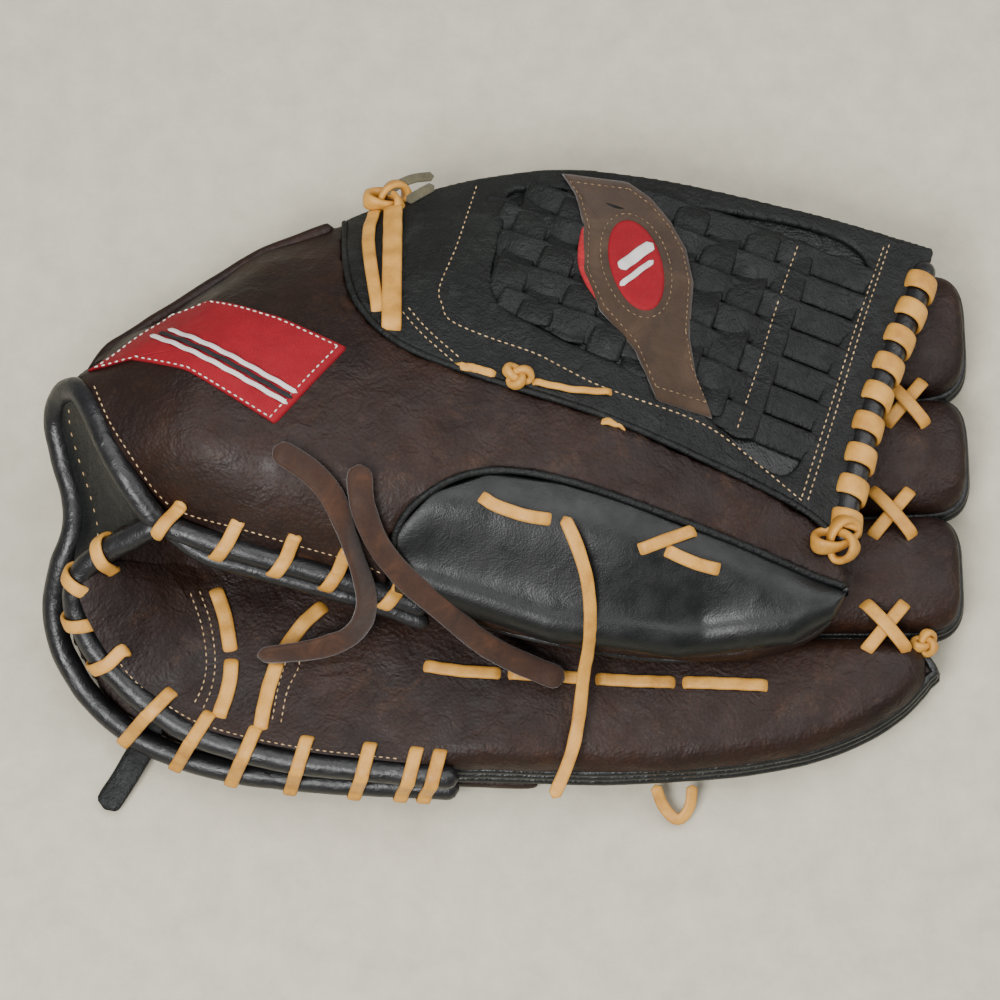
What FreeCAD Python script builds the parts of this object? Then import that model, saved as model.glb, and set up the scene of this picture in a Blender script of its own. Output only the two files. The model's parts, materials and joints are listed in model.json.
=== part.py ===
"""Closed baseball fielding glove, lying on the backs of its fingers, as an assembly of leather pieces.

Millimetres. +X runs from the heel to the fingertips, +Y from the little finger to the fold, +Z is up.
The finger side lies on the surface. The thumb side and the web lie over it and turn about the fold,
a line along the outer edge of the index finger. Each height function gives the top of one layer, and
each leather piece is a plan outline cut from a layer.
"""
import FreeCAD
import Part

import math
import os

V = FreeCAD.Vector

# ---- leather, padding and lace -------------------------------------------------------------------
SHELL = 3.0            # shell leather
LINING = 1.6           # lining leather
PAD = 6.0              # felt under the palm
WEB = 4.0              # web leather, two plies
LACE_W = 4.8           # lace width
LACE_T = 1.7           # lace thickness
ROLL_R = 2.7           # rolled binding, outside radius
WELT_H = 3.0           # piping between front and back of a finger
WELT_OUT = 1.2         # how far the piping stands out
GAP = 0.12             # between layers that lie on each other
WRAP_CLEAR = 0.4       # between a wrapped lace and a curved binding
SEAM = 0.7             # between two leather pieces side by side

# ---- finger side ---------------------------------------------------------------------------------
PALM_Z = 31.0          # top of the palm leather
TIP_DROP = 6.0         # how much lower the fingertips are
BOWL_RISE = 22.0       # how far the heel of the palm curls up at the wrist
WRIST_RISE = 28.0      # how far the back of the wrist curls up
BACK_WALL = 10.0       # height of the finger backs
FINGER_X0 = 14.0       # where the finger stalls start
TIP_R = 11.0           # corner radius of a fingertip in plan
EDGE_R = 7.0           # rounding of a finger's long edges

# ---- thumb side ----------------------------------------------------------------------------------
CROWN_Z = 91.0         # highest point, over the heel of the thumb
EDGE_Z = 46.0          # height of the fold's outermost edge
THUMB_FALL = 26.0      # from the crown to the thumb's free edge
UNDER_Z = 43.0         # underside of the thumb
THUMB_PAD = 7.0        # felt under the thumb

# ---- fold ----------------------------------------------------------------------------------------
AXIS_A = V(-145, 34, 11)
AXIS_B = V(160, 95, 11)
FOLD_CLEAR = 3.0       # from the fold line to the finger side
RETURN_CLEAR = 6.0     # from the fold line to the leather that comes back under it

# ---- plan outlines, heel to tip ------------------------------------------------------------------
FOLD_EDGE = [(-145, 37), (-139, 49), (-119, 63), (-85, 86), (-55, 98), (-18, 111), (26, 117), (72, 110),
             (107, 103), (154, 90)]
THUMB_EDGE = [(-145, 33), (-138, 25), (-129, 5), (-115, -15), (-84, -27), (-36, -39), (17, -55), (60, -59),
              (98, -55), (112, -47), (117, -38)]
PANEL_TOP = [(-36, -39), (-34, -23), (-22, -11), (-4, -4), (20, -6), (50, -15), (83, -26), (104, -34), (117, -38)]
WEB_EDGE = [(-55, 98), (-53, 74), (-48, 57), (-34, 42), (-8, 31), (34, 18), (67, 5), (101, -10), (116, -22)]
WEB_TIP = [(116, -22), (118, -9), (122, 5), (126, 20), (131, 34), (138, 51), (146, 69), (154, 90)]
HEEL_EDGE = [(-141, -28), (-145, -40), (-137, -57), (-125, -70), (-103, -84), (-69, -92), (-14, -97)]
BACK_EDGE = [(-148, 14), (-144, -8), (-147.6, -22.6), (-151.4, -37.4), (-145, -58.2), (-125, -77.4), (-97, -87.8),
             (-76, -91), (-55, -93.4), (-14, -96)]
BACK_ROLL = [(-151, 14), (-147, -8), (-151, -24), (-155, -38), (-148, -60), (-127, -80), (-98, -91), (-84, -93.8),
             (-73.5, -95.6)]
PALM_INNER = [(-141, -28), (-112, -22), (-95, -4), (-80, 24), (-60, 47)]
PINKY_EDGE = [(-14, -97), (37, -99), (82, -96), (110, -91), (134, -81), (146, -68), (150, -54)]
STALLS = {             # plan corners of each finger, from its base round the tip
    "pinky": [(14, -98), (86, -96), (126, -86), (150, -66), (151, -47.6), (14, -46.6)],
    "ring": [(14, -46.0), (158, -46.0), (161, -24), (159, -2.2), (14, -9.8)],
    "middle": [(14, -9.2), (162, -1.5), (166, 20), (163, 41.0), (14, 26.0)],
    "index": [(14, 26.6), (162, 41.7), (167, 66), (162, 88.0), (14, 62.2)],
}

WEAVE = [(2, 105), (-2, 80), (-1, 59), (9, 51), (24, 43), (68, 21), (98, 1), (108, 22), (118, 50), (130, 84),
         (80, 101), (26, 108)]    # woven part of the web
WEAVE_CORE = [(5, 101), (1, 80), (2, 61), (11, 53.5), (25, 46), (69, 25), (96, 5), (105, 23), (115, 50), (126, 82),
              (79, 98), (26, 105)]    # the woven strips end here
WEAVE_CENTRES = [(8, 97), (5, 78), (6, 63), (14, 56), (26, 49), (69, 29), (94, 10), (103, 26), (112, 50), (122, 79),
                 (78, 94), (26, 101)]    # squares whose middle lies in here are kept
WEAVE_PITCH = (13.0, 11.5)
WEAVE_TURN = -19.0     # degrees, the rows follow the thumb
PATCH = [(-140, 35), (-124, 36), (-104, 29), (-74, 10), (-51, 39), (-74, 51), (-100, 61), (-114, 58)]
STRAP = [(22, 115), (45, 112), (53, 105), (60, 95), (65, 84), (67, 70), (65, 48), (67, 33), (72, 19), (53, 24),
         (51, 29), (46, 42), (34, 57), (28, 73), (29, 93), (26, 107)]
FELT_EDGE = [(28, 92), (26.5, 75), (33, 60), (41, 50)]
BADGE = (47.0, 75.5, 9.5, 19.0, 10.0)   # centre, half width, half length, turn in degrees
PALM_LACES = [[(-99, -31), (-95, -40), (-92, -57), (-93, -66), (-96, -76)],
              [(-60, -37), (-69, -46), (-77, -59), (-80, -70), (-82, -80)]]
PINKY_LACE = [(-27, -59), (4, -62), (34, -64), (64, -65), (93, -66)]
PANEL_LACES = [[(-8, -12), (5, -14), (18, -19)], [(46, -30), (57, -24), (68, -20)], [(58, -32), (66, -35), (74, -38)]]
WEB_EDGE_LACES = [[(-20, 37), (-8, 33), (0, 31)], [(11, 29), (24, 27), (39, 23)]]
FINGER_LACES = {("pinky", "ring"): (133, -46.3), ("ring", "middle"): (137, -5.2), ("middle", "index"): (143, 33.4)}
CROSS_ARM = 15.0       # half length of a lace that crosses a finger gap

# ---- free laces: hand-laid lines, and how far they stay above the leather -------------------------
THONG_D = 6.4
TAIL_D = 4.8
LACE_TAIL = [(21, -19, 80.5), (27, -31, 77.5), (30, -45, 68.5), (30, -57, 57), (28, -66, 44), (27, -78, 35),
             (24, -92, 31.5), (18, -105, 31)]
THONG_A = [(-74, 1, 92.5), (-65, -4, 91.5), (-56, -11.5, 88.5), (-51.5, -21, 83), (-48, -31, 75), (-43.5, -43, 61),
           (-48, -51.5, 47), (-61, -55, 38.8), (-75, -56.3, 36.8), (-83, -57, 36.8)]
THONG_B = [(-46, -4, 90), (-46, -13, 88), (-43.5, -22, 83), (-39, -30, 76.5), (-31, -38, 69), (-22, -44, 63.5),
           (-13, -50.5, 55), (-4, -56, 46.5), (9, -61, 39.5), (22, -65.5, 37.2)]

# ---- height functions ----------------------------------------------------------------------------
def along(points, x):
    """The y of a heel-to-tip outline at x, straight between its points."""
    pts = sorted(points)
    if x <= pts[0][0]:
        return pts[0][1]
    for (xa, ya), (xb, yb) in zip(pts, pts[1:]):
        if x <= xb:
            return ya + (yb - ya) * (x - xa) / max(xb - xa, 1e-9)
    return pts[-1][1]


def ease(t):
    """0 to 1 with flat ends."""
    t = max(0.0, min(1.0, t))
    return t * t * (3 - 2 * t)


def fold_y(x):
    """The y of the fold line at x."""
    return AXIS_A.y + (AXIS_B.y - AXIS_A.y) * (x - AXIS_A.x) / (AXIS_B.x - AXIS_A.x)


def palm_top(x, y):
    """Top of the finger side: a shallow palm, fingertips a little lower, the heel curled up."""
    bowl = BOWL_RISE * ease((-x - 98) / 45) * ease((y + 80) / 52) * (1 - ease((y + 22) / 25))
    dish = 3.0 * math.exp(-((x + 40) / 60) ** 2 - ((y + 10) / 45) ** 2)
    return PALM_Z + bowl - dish - TIP_DROP * ease((x - 40) / 110)


def back_low(x, y):
    """Underside of the back of the hand, which curls up round the wrist."""
    return 8 * ease((-x - 90) / 40) + WRIST_RISE * ease((-x - 112) / 44) * ease((y + 70) / 60)


def ridge_y(x):
    """The line along the top of the thumb."""
    return 10 - 0.235 * (x + 95)


def thumb_top(x, y):
    """Outside of the thumb side: a ridge along the thumb that falls to the fold and to the free edge."""
    ridge = CROWN_Z - 0.12 * (x + 95) - 10 * ease((x - 30) / 95) - 22 * ease((-95 - x) / 55)
    if y > ridge_y(x):
        t = (y - ridge_y(x)) / (along(FOLD_EDGE, x) - ridge_y(x))
        return ridge - (ridge - EDGE_Z + 8 * ease((x - 60) / 90)) * min(t, 1.15) ** 2.2
    t = (ridge_y(x) - y) / max(ridge_y(x) - along(THUMB_EDGE, x), 30.0)
    return ridge - THUMB_FALL * min(t, 1.2) ** 2 * (1 - 0.55 * ease((x - 70) / 50))


def thumb_under(x, y):
    """Underside of the thumb, which faces the palm."""
    return UNDER_Z - 13 * ease((x - 10) / 90) + 6 * ease((-x - 20) / 80)


# ---- solids from layers and outlines -------------------------------------------------------------
SPAN_X = (-176.0, 186.0)
SPAN_Y = (-130.0, 138.0)
GRID = (21, 16)
FAR = 260.0


def surface(height, lift=0.0):
    """A smooth face through height + lift on an even grid; a number stands for a flat level."""
    rows = []
    for i in range(GRID[0]):
        x = SPAN_X[0] + (SPAN_X[1] - SPAN_X[0]) * i / (GRID[0] - 1)
        row = []
        for j in range(GRID[1]):
            y = SPAN_Y[0] + (SPAN_Y[1] - SPAN_Y[0]) * j / (GRID[1] - 1)
            row.append(V(x, y, height(x, y) + lift))
        rows.append(row)
    spline = Part.BSplineSurface()
    spline.interpolate(rows)
    return spline.toShape()


def sheet(height, low, high):
    """The layer from height + low to height + high over the whole span."""
    return surface(height, low).extrude(V(0, 0, high - low))


def below(height, lift=0.0):
    return surface(height, lift).extrude(V(0, 0, -FAR))


def above(height, lift=0.0):
    return surface(height, lift).extrude(V(0, 0, FAR))


def outline(*runs):
    """A flat closed face. Each run is a list of points: two make a line, more make a smooth curve."""
    edges = []
    for run in runs:
        pts = [V(x, y, 0) for x, y in run]
        if len(pts) == 2:
            edges.append(Part.makeLine(*pts))
        else:
            curve = Part.BSplineCurve()
            curve.interpolate(pts)
            edges.append(curve.toShape())
    return Part.Face(Part.Wire(Part.__sortEdges__(edges)))


def prism(face, low=-20.0, high=150.0):
    """A plan outline as an upright prism."""
    flat = face.copy()
    flat.translate(V(0, 0, low))
    return flat.extrude(V(0, 0, high - low))


def loop(points, closed=True):
    """A flat closed face with one smooth edge all round."""
    curve = Part.BSplineCurve()
    curve.interpolate([V(x, y, 0) for x, y in points], PeriodicFlag=closed)
    return Part.Face(Part.Wire(curve.toShape()))


def smooth(points):
    """A smooth wire through points."""
    curve = Part.BSplineCurve()
    curve.interpolate([V(*p) for p in points])
    return Part.Wire(curve.toShape())


def tube(points, radius):
    """A round roll along a smooth line, with flat ends."""
    wire = smooth(points)
    edge = wire.Edges[0]
    first = edge.FirstParameter
    circle = Part.Wire(Part.makeCircle(radius, edge.valueAt(first), edge.tangentAt(first)))
    return wire.makePipeShell([circle], True, True)


def ribbon(points, width):
    """A plan strip of one width along a smooth line."""
    curve = Part.BSplineCurve()
    curve.interpolate([V(x, y, 0) for x, y in points])
    steps = 3 * len(points)
    first, last = curve.FirstParameter, curve.LastParameter
    sides = ([], [])
    for i in range(steps + 1):
        t = first + (last - first) * i / steps
        at = curve.value(t)
        way = curve.tangent(t)[0]
        for side, sign in zip(sides, (0.5, -0.5)):
            side.append((at.x - sign * width * way.y, at.y + sign * width * way.x))
    left, right = sides
    return outline(left, [left[-1], right[-1]], right[::-1], [right[0], left[0]])


def strip_on(height, points, width, lift, thick):
    """A strip of leather lying on a layer."""
    return prism(ribbon(points, width)).common(sheet(height, lift, lift + thick))


def band(points, width, index_range, thick, hole):
    """Wraps of lace round a roll, one at each listed share of the roll's length."""
    wire = smooth(points)
    edge = wire.Edges[0]
    wraps = []
    for share in index_range:
        t = edge.FirstParameter + (edge.LastParameter - edge.FirstParameter) * share
        at, way = edge.valueAt(t), edge.tangentAt(t)
        start = at - way * (width / 2)
        outer = Part.makeCylinder(hole + thick, width, start, way)
        wraps.append(outer.cut(Part.makeCylinder(hole, width, start, way)))
    return wraps


def keep_solids(shape, least=1.0):
    """The real solids of a boolean result, as one shape."""
    solids = [s for s in shape.Solids if s.Volume > least]
    return solids[0] if len(solids) == 1 else Part.makeCompound(solids)


# ---- finger stalls -------------------------------------------------------------------------------
def inset(points, by):
    """The corners of a convex plan outline moved inwards, all but its straight base edge."""
    moved = []
    count = len(points)
    for i, (x, y) in enumerate(points):
        (xa, ya), (xb, yb) = points[i - 1], points[(i + 1) % count]
        normals = []
        for dx, dy in ((x - xa, y - ya), (xb - x, yb - y)):
            size = math.hypot(dx, dy)
            normals.append((-dy / size, dx / size))
        if i == 0:
            moved.append((x, y + by))
            continue
        if i == count - 1:
            moved.append((x, y - by))
            continue
        (ax, ay), (bx, by_) = normals
        scale = by / (1 + ax * bx + ay * by_)
        moved.append((x + scale * (ax + bx), y + scale * (ay + by_)))
    return moved


def pillow(points, by, low, high, corner, edge):
    """A rounded solid on a convex outline; its base end, at the first x, stays flat."""
    corners = [V(x, y, 0) for x, y in inset(points, by)]
    face = Part.Face(Part.makePolygon(corners + corners[:1]))
    face.translate(V(0, 0, low))
    solid = face.extrude(V(0, 0, high - low))
    base = points[0][0]
    upright = [e for e in solid.Edges if abs(e.tangentAt(e.FirstParameter).z) > 0.9 and e.CenterOfMass.x > base + 1]
    solid = solid.makeFillet(corner, upright)
    rims = [e for e in solid.Edges if abs(e.tangentAt(e.FirstParameter).z) < 0.1 and e.CenterOfMass.x > base + 0.5]
    return solid.makeFillet(edge, rims)


def slab(low, high):
    """Everything between two levels."""
    box = Part.makeBox(400, 320, high - low)
    box.translate(V(-200, -160, low))
    return box


def finger(name):
    """Front, back and piping of one finger."""
    points = STALLS[name]
    tip = max(x for x, y in points)
    top = palm_top((points[0][0] + tip) / 2 + 20, points[1][1] + 18)
    outer = pillow(points, 0.0, 0.0, top, TIP_R, EDGE_R)
    inner = pillow(points, SHELL, SHELL, top - SHELL, TIP_R - SHELL, EDGE_R - SHELL)
    shell = outer.cut(inner)
    front = keep_solids(shell.common(slab(BACK_WALL + WELT_H, 60)))
    back = keep_solids(shell.common(slab(-1, BACK_WALL)))
    stand = pillow(points, -WELT_OUT, -5.0, top + 5, TIP_R + WELT_OUT, 2.0) if name == "pinky" else outer
    ring = stand.cut(inner).common(slab(BACK_WALL + GAP / 2, BACK_WALL + WELT_H - GAP / 2))
    return front, back, keep_solids(ring)


def cross_lace(at, top):
    """Two laces that cross over the gap between two fingers, with their knot."""
    x, y = at
    arms = []
    for turn in (38, -42):
        c, s = math.cos(math.radians(turn)) * CROSS_ARM, math.sin(math.radians(turn)) * CROSS_ARM
        arm = prism(outline([(x - c - s / 7, y - s + c / 7), (x + c - s / 7, y + s + c / 7)],
                            [(x + c - s / 7, y + s + c / 7), (x + c + s / 7, y + s - c / 7)],
                            [(x + c + s / 7, y + s - c / 7), (x - c + s / 7, y - s - c / 7)],
                            [(x - c + s / 7, y - s - c / 7), (x - c - s / 7, y - s + c / 7)]),
                    top + GAP, top + GAP + LACE_T)
        arms.append(arm)
    arms[1].translate(V(0, 0, LACE_T * 0.6))
    return arms[0].fuse(arms[1])


def knot(at, size, turn):
    """A tied lace knot, as a rounded block."""
    length, width, height = size
    block = Part.makeBox(length, width, height, V(-length / 2, -width / 2, 0))
    block = block.makeFillet(min(width, height) * 0.3, block.Edges)
    block.rotate(V(0, 0, 0), V(0, 0, 1), turn)
    block.translate(V(*at))
    return block


def oval(centre, half, turn, by=0.0):
    """An oval outline."""
    points = []
    for k in range(16):
        a = 2 * math.pi * k / 16
        dx, dy = (half[0] + by) * math.cos(a), (half[1] + by) * math.sin(a)
        c, s = math.cos(math.radians(turn)), math.sin(math.radians(turn))
        points.append((centre[0] + dx * c - dy * s, centre[1] + dx * s + dy * c))
    return loop(points)


def weave_cells(inside):
    """Two sets of prisms, one for the squares of each direction of the weave."""
    c, s = math.cos(math.radians(WEAVE_TURN)), math.sin(math.radians(WEAVE_TURN))
    sets = ([], [])
    px, py = WEAVE_PITCH
    for i in range(-4, 16):
        for j in range(-9, 10):
            u, v = i * px, j * py
            x, y = u * c - v * s, 60 + u * s + v * c
            if not inside.isInside(V(x, y, 0), 0.01, True):
                continue
            longer = (i + j) % 2
            a = px / 2 - SEAM / 2
            b = py / 2 - SEAM / 2
            ring = [V(x + du * a * c - dv * b * s, y + du * a * s + dv * b * c, 0)
                    for du, dv in ((-1, -1), (1, -1), (1, 1), (-1, 1), (-1, -1))]
            sets[longer].append(prism(Part.Face(Part.makePolygon(ring))))
    return sets


def cord(points, radius):
    """A lace that hangs free: straight runs joined by tangent arcs."""
    pts = [V(*p) for p in points]
    edges, at, radii = [], pts[0], []
    for before, corner, after in zip(pts, pts[1:], pts[2:]):
        back, on = (before - corner), (after - corner)
        shorter = min(back.Length, on.Length)
        back.normalize()
        on.normalize()
        turn = math.pi - back.getAngle(on)
        leg = 0.45 * shorter
        radii.append(leg / math.tan(turn / 2))
        start, end = corner + back * leg, corner + on * leg
        middle = back + on
        middle.normalize()
        centre_far = radii[-1] / math.cos(turn / 2)
        edges.append(Part.LineSegment(at, start).toShape())
        edges.append(Part.Arc(start, corner + middle * (centre_far - radii[-1]), end).toShape())
        at = end
    edges.append(Part.LineSegment(at, pts[-1]).toShape())
    wire = Part.Wire(edges)
    circle = Part.Wire(Part.makeCircle(radius, pts[0], pts[1] - pts[0]))
    body = wire.makePipeShell([circle], True, False)
    print("cord length", round(wire.Length, 1), "least radius", round(min(radii), 1),
          "volume share", round(body.Volume / (math.pi * radius ** 2 * wire.Length), 3))
    return body


def lift(points, height, by):
    """Plan points put on a height function."""
    return [(x, y, height(x, y) + by) for x, y in points]


def finger_side():
    """The palm, the back of the hand and the four fingers, which lie still."""
    nodes = {}
    for name in STALLS:
        front, back, welt = finger(name)
        nodes[name + "_front"], nodes[name + "_back"], nodes[name + "_welt"] = front, back, welt
    nodes["pinky_welt"] = keep_solids(nodes["pinky_welt"].cut(nodes["ring_welt"]))
    x0 = FINGER_X0 - SEAM / 2
    clear = fold_y(x0) - FOLD_CLEAR
    far_clear = fold_y(-60) - FOLD_CLEAR
    palm = outline(HEEL_EDGE, [HEEL_EDGE[-1], (x0, -98)], [(x0, -98), (x0, clear)], [(x0, clear), (-60, far_clear)],
                   [(-60, far_clear)] + PALM_INNER[3::-1])
    top = prism(palm).common(sheet(palm_top, -SHELL, 0))
    low_rim = [(-69, -92), (-55, -93.4), (-14, -97), (x0, -98)]
    rim = outline(low_rim, [low_rim[-1], (x0, -98 + SHELL)], [(x, y + SHELL) for x, y in low_rim[::-1]],
                  [(low_rim[0][0], low_rim[0][1] + SHELL), low_rim[0]])
    wall = prism(rim, BACK_WALL + WELT_H, 60).common(below(palm_top, -SHELL))
    inner_rim = outline([(x0, clear), (-60, far_clear)], [(-60, far_clear), (-60, far_clear - SHELL)],
                        [(-60, far_clear - SHELL), (x0, clear - SHELL)], [(x0, clear - SHELL), (x0, clear)])
    inner_wall = prism(inner_rim, BACK_WALL + WELT_H, 60).common(below(palm_top, -SHELL))
    nodes["palm_front"] = keep_solids(top.fuse([wall, inner_wall]).removeSplitter())
    piping = prism(rim, BACK_WALL + GAP / 2, BACK_WALL + WELT_H - GAP / 2)
    nodes["palm_welt"] = piping
    in_palm = outline([(-121, -62), (-103, -76), (-69, -86), (-14, -91), (x0 - 2, -92)],
                      [(x0 - 2, -92), (x0 - 2, clear - 6)], [(x0 - 2, clear - 6), (-52, far_clear - 6)],
                      [(-52, far_clear - 6), (-72, 20), (-87, -8), (-106, -28), (-126, -38), (-129, -50), (-121, -62)])
    nodes["palm_pad"] = prism(in_palm).common(sheet(palm_top, -SHELL - GAP - PAD, -SHELL - GAP))
    deep = SHELL + PAD + 2 * GAP
    nodes["palm_lining"] = prism(in_palm).common(sheet(palm_top, -deep - LINING, -deep))
    # back of the hand, with its own low wall
    back = outline(BACK_EDGE, [BACK_EDGE[-1], (x0, -98)], [(x0, -98), (x0, clear)],
                   [(x0, clear), (-138, fold_y(-138) - FOLD_CLEAR)],
                   [(-138, fold_y(-138) - FOLD_CLEAR), BACK_EDGE[0]])
    floor = prism(back).common(sheet(back_low, 0, SHELL)).common(slab(0, 90))
    low_wall = prism(rim, 0, BACK_WALL).common(above(back_low, SHELL))
    inner_low = prism(inner_rim, 0, BACK_WALL).common(above(back_low, SHELL))
    nodes["hand_back"] = keep_solids(floor.fuse([low_wall, inner_low]).removeSplitter())
    # rolled bindings
    palm_roll_line = lift([(-130, -26)] + HEEL_EDGE + [(-10, -97.5)], palm_top, -1.0)
    palm_roll = tube(palm_roll_line, ROLL_R)
    wrist_line = [(x, y, max(z, ROLL_R + 1.0)) for x, y, z in lift(BACK_ROLL, back_low, SHELL - 0.5)]
    wrist_roll = tube(wrist_line, ROLL_R)
    nodes["palm_heel_roll"] = keep_solids(palm_roll.cut(nodes["palm_front"]))
    nodes["wrist_roll"] = wrist_roll
    wraps = band(palm_roll_line, LACE_W, [0.08, 0.17, 0.26, 0.36, 0.46, 0.56, 0.65, 0.74, 0.83, 0.91, 0.97], LACE_T,
                 ROLL_R + WRAP_CLEAR)
    wraps = [keep_solids(w.cut(nodes["palm_front"]).cut(nodes["wrist_roll"]).cut(nodes["hand_back"])) for w in wraps]
    nodes["palm_heel_lace"] = Part.makeCompound(wraps)
    # laces sewn through the palm and fingers
    strips = [strip_on(palm_top, line, LACE_W, GAP, LACE_T) for line in PALM_LACES]
    nodes["palm_seam_laces"] = Part.makeCompound(
        [keep_solids(strip.cut(palm_roll).cut(nodes["palm_heel_lace"])) for strip in strips])
    dashes = []
    for (xa, ya), (xb, yb) in zip(PINKY_LACE, PINKY_LACE[1:]):
        ends = [(xa + 1.5, ya), ((xa + xb) / 2, (ya + yb) / 2 + 0.6), (xb - 1.5, yb)]
        level = nodes["pinky_front"].BoundBox.ZMax if xa > FINGER_X0 else PALM_Z + 1
        dashes.append(prism(ribbon(ends, LACE_W), level + GAP, level + GAP + LACE_T))
    nodes["pinky_lace"] = Part.makeCompound(dashes)
    crosses = []
    for (one, two), at in FINGER_LACES.items():
        level = max(nodes[one + "_front"].BoundBox.ZMax, nodes[two + "_front"].BoundBox.ZMax)
        crosses.append(cross_lace(at, level))
    nodes["finger_cross_laces"] = Part.makeCompound(crosses)
    nodes["pinky_tip_knot"] = knot((154, -49, 14), (6, 5, 4), 0)
    nodes["pinky_loop"] = Part.makeCylinder(6, LACE_W, V(58, -99.8, 7), V(0.3, -1, 0)).cut(
        Part.makeCylinder(6 - LACE_T, LACE_W, V(58, -99.8, 7), V(0.3, -1, 0)))
    tab = prism(ribbon([(-118, -82), (-126, -92), (-136, -106)], 7.5), 1.0, 3.4)
    nodes["wrist_tab"] = keep_solids(tab.cut(nodes["wrist_roll"]).cut(nodes["hand_back"]))
    return nodes


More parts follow.
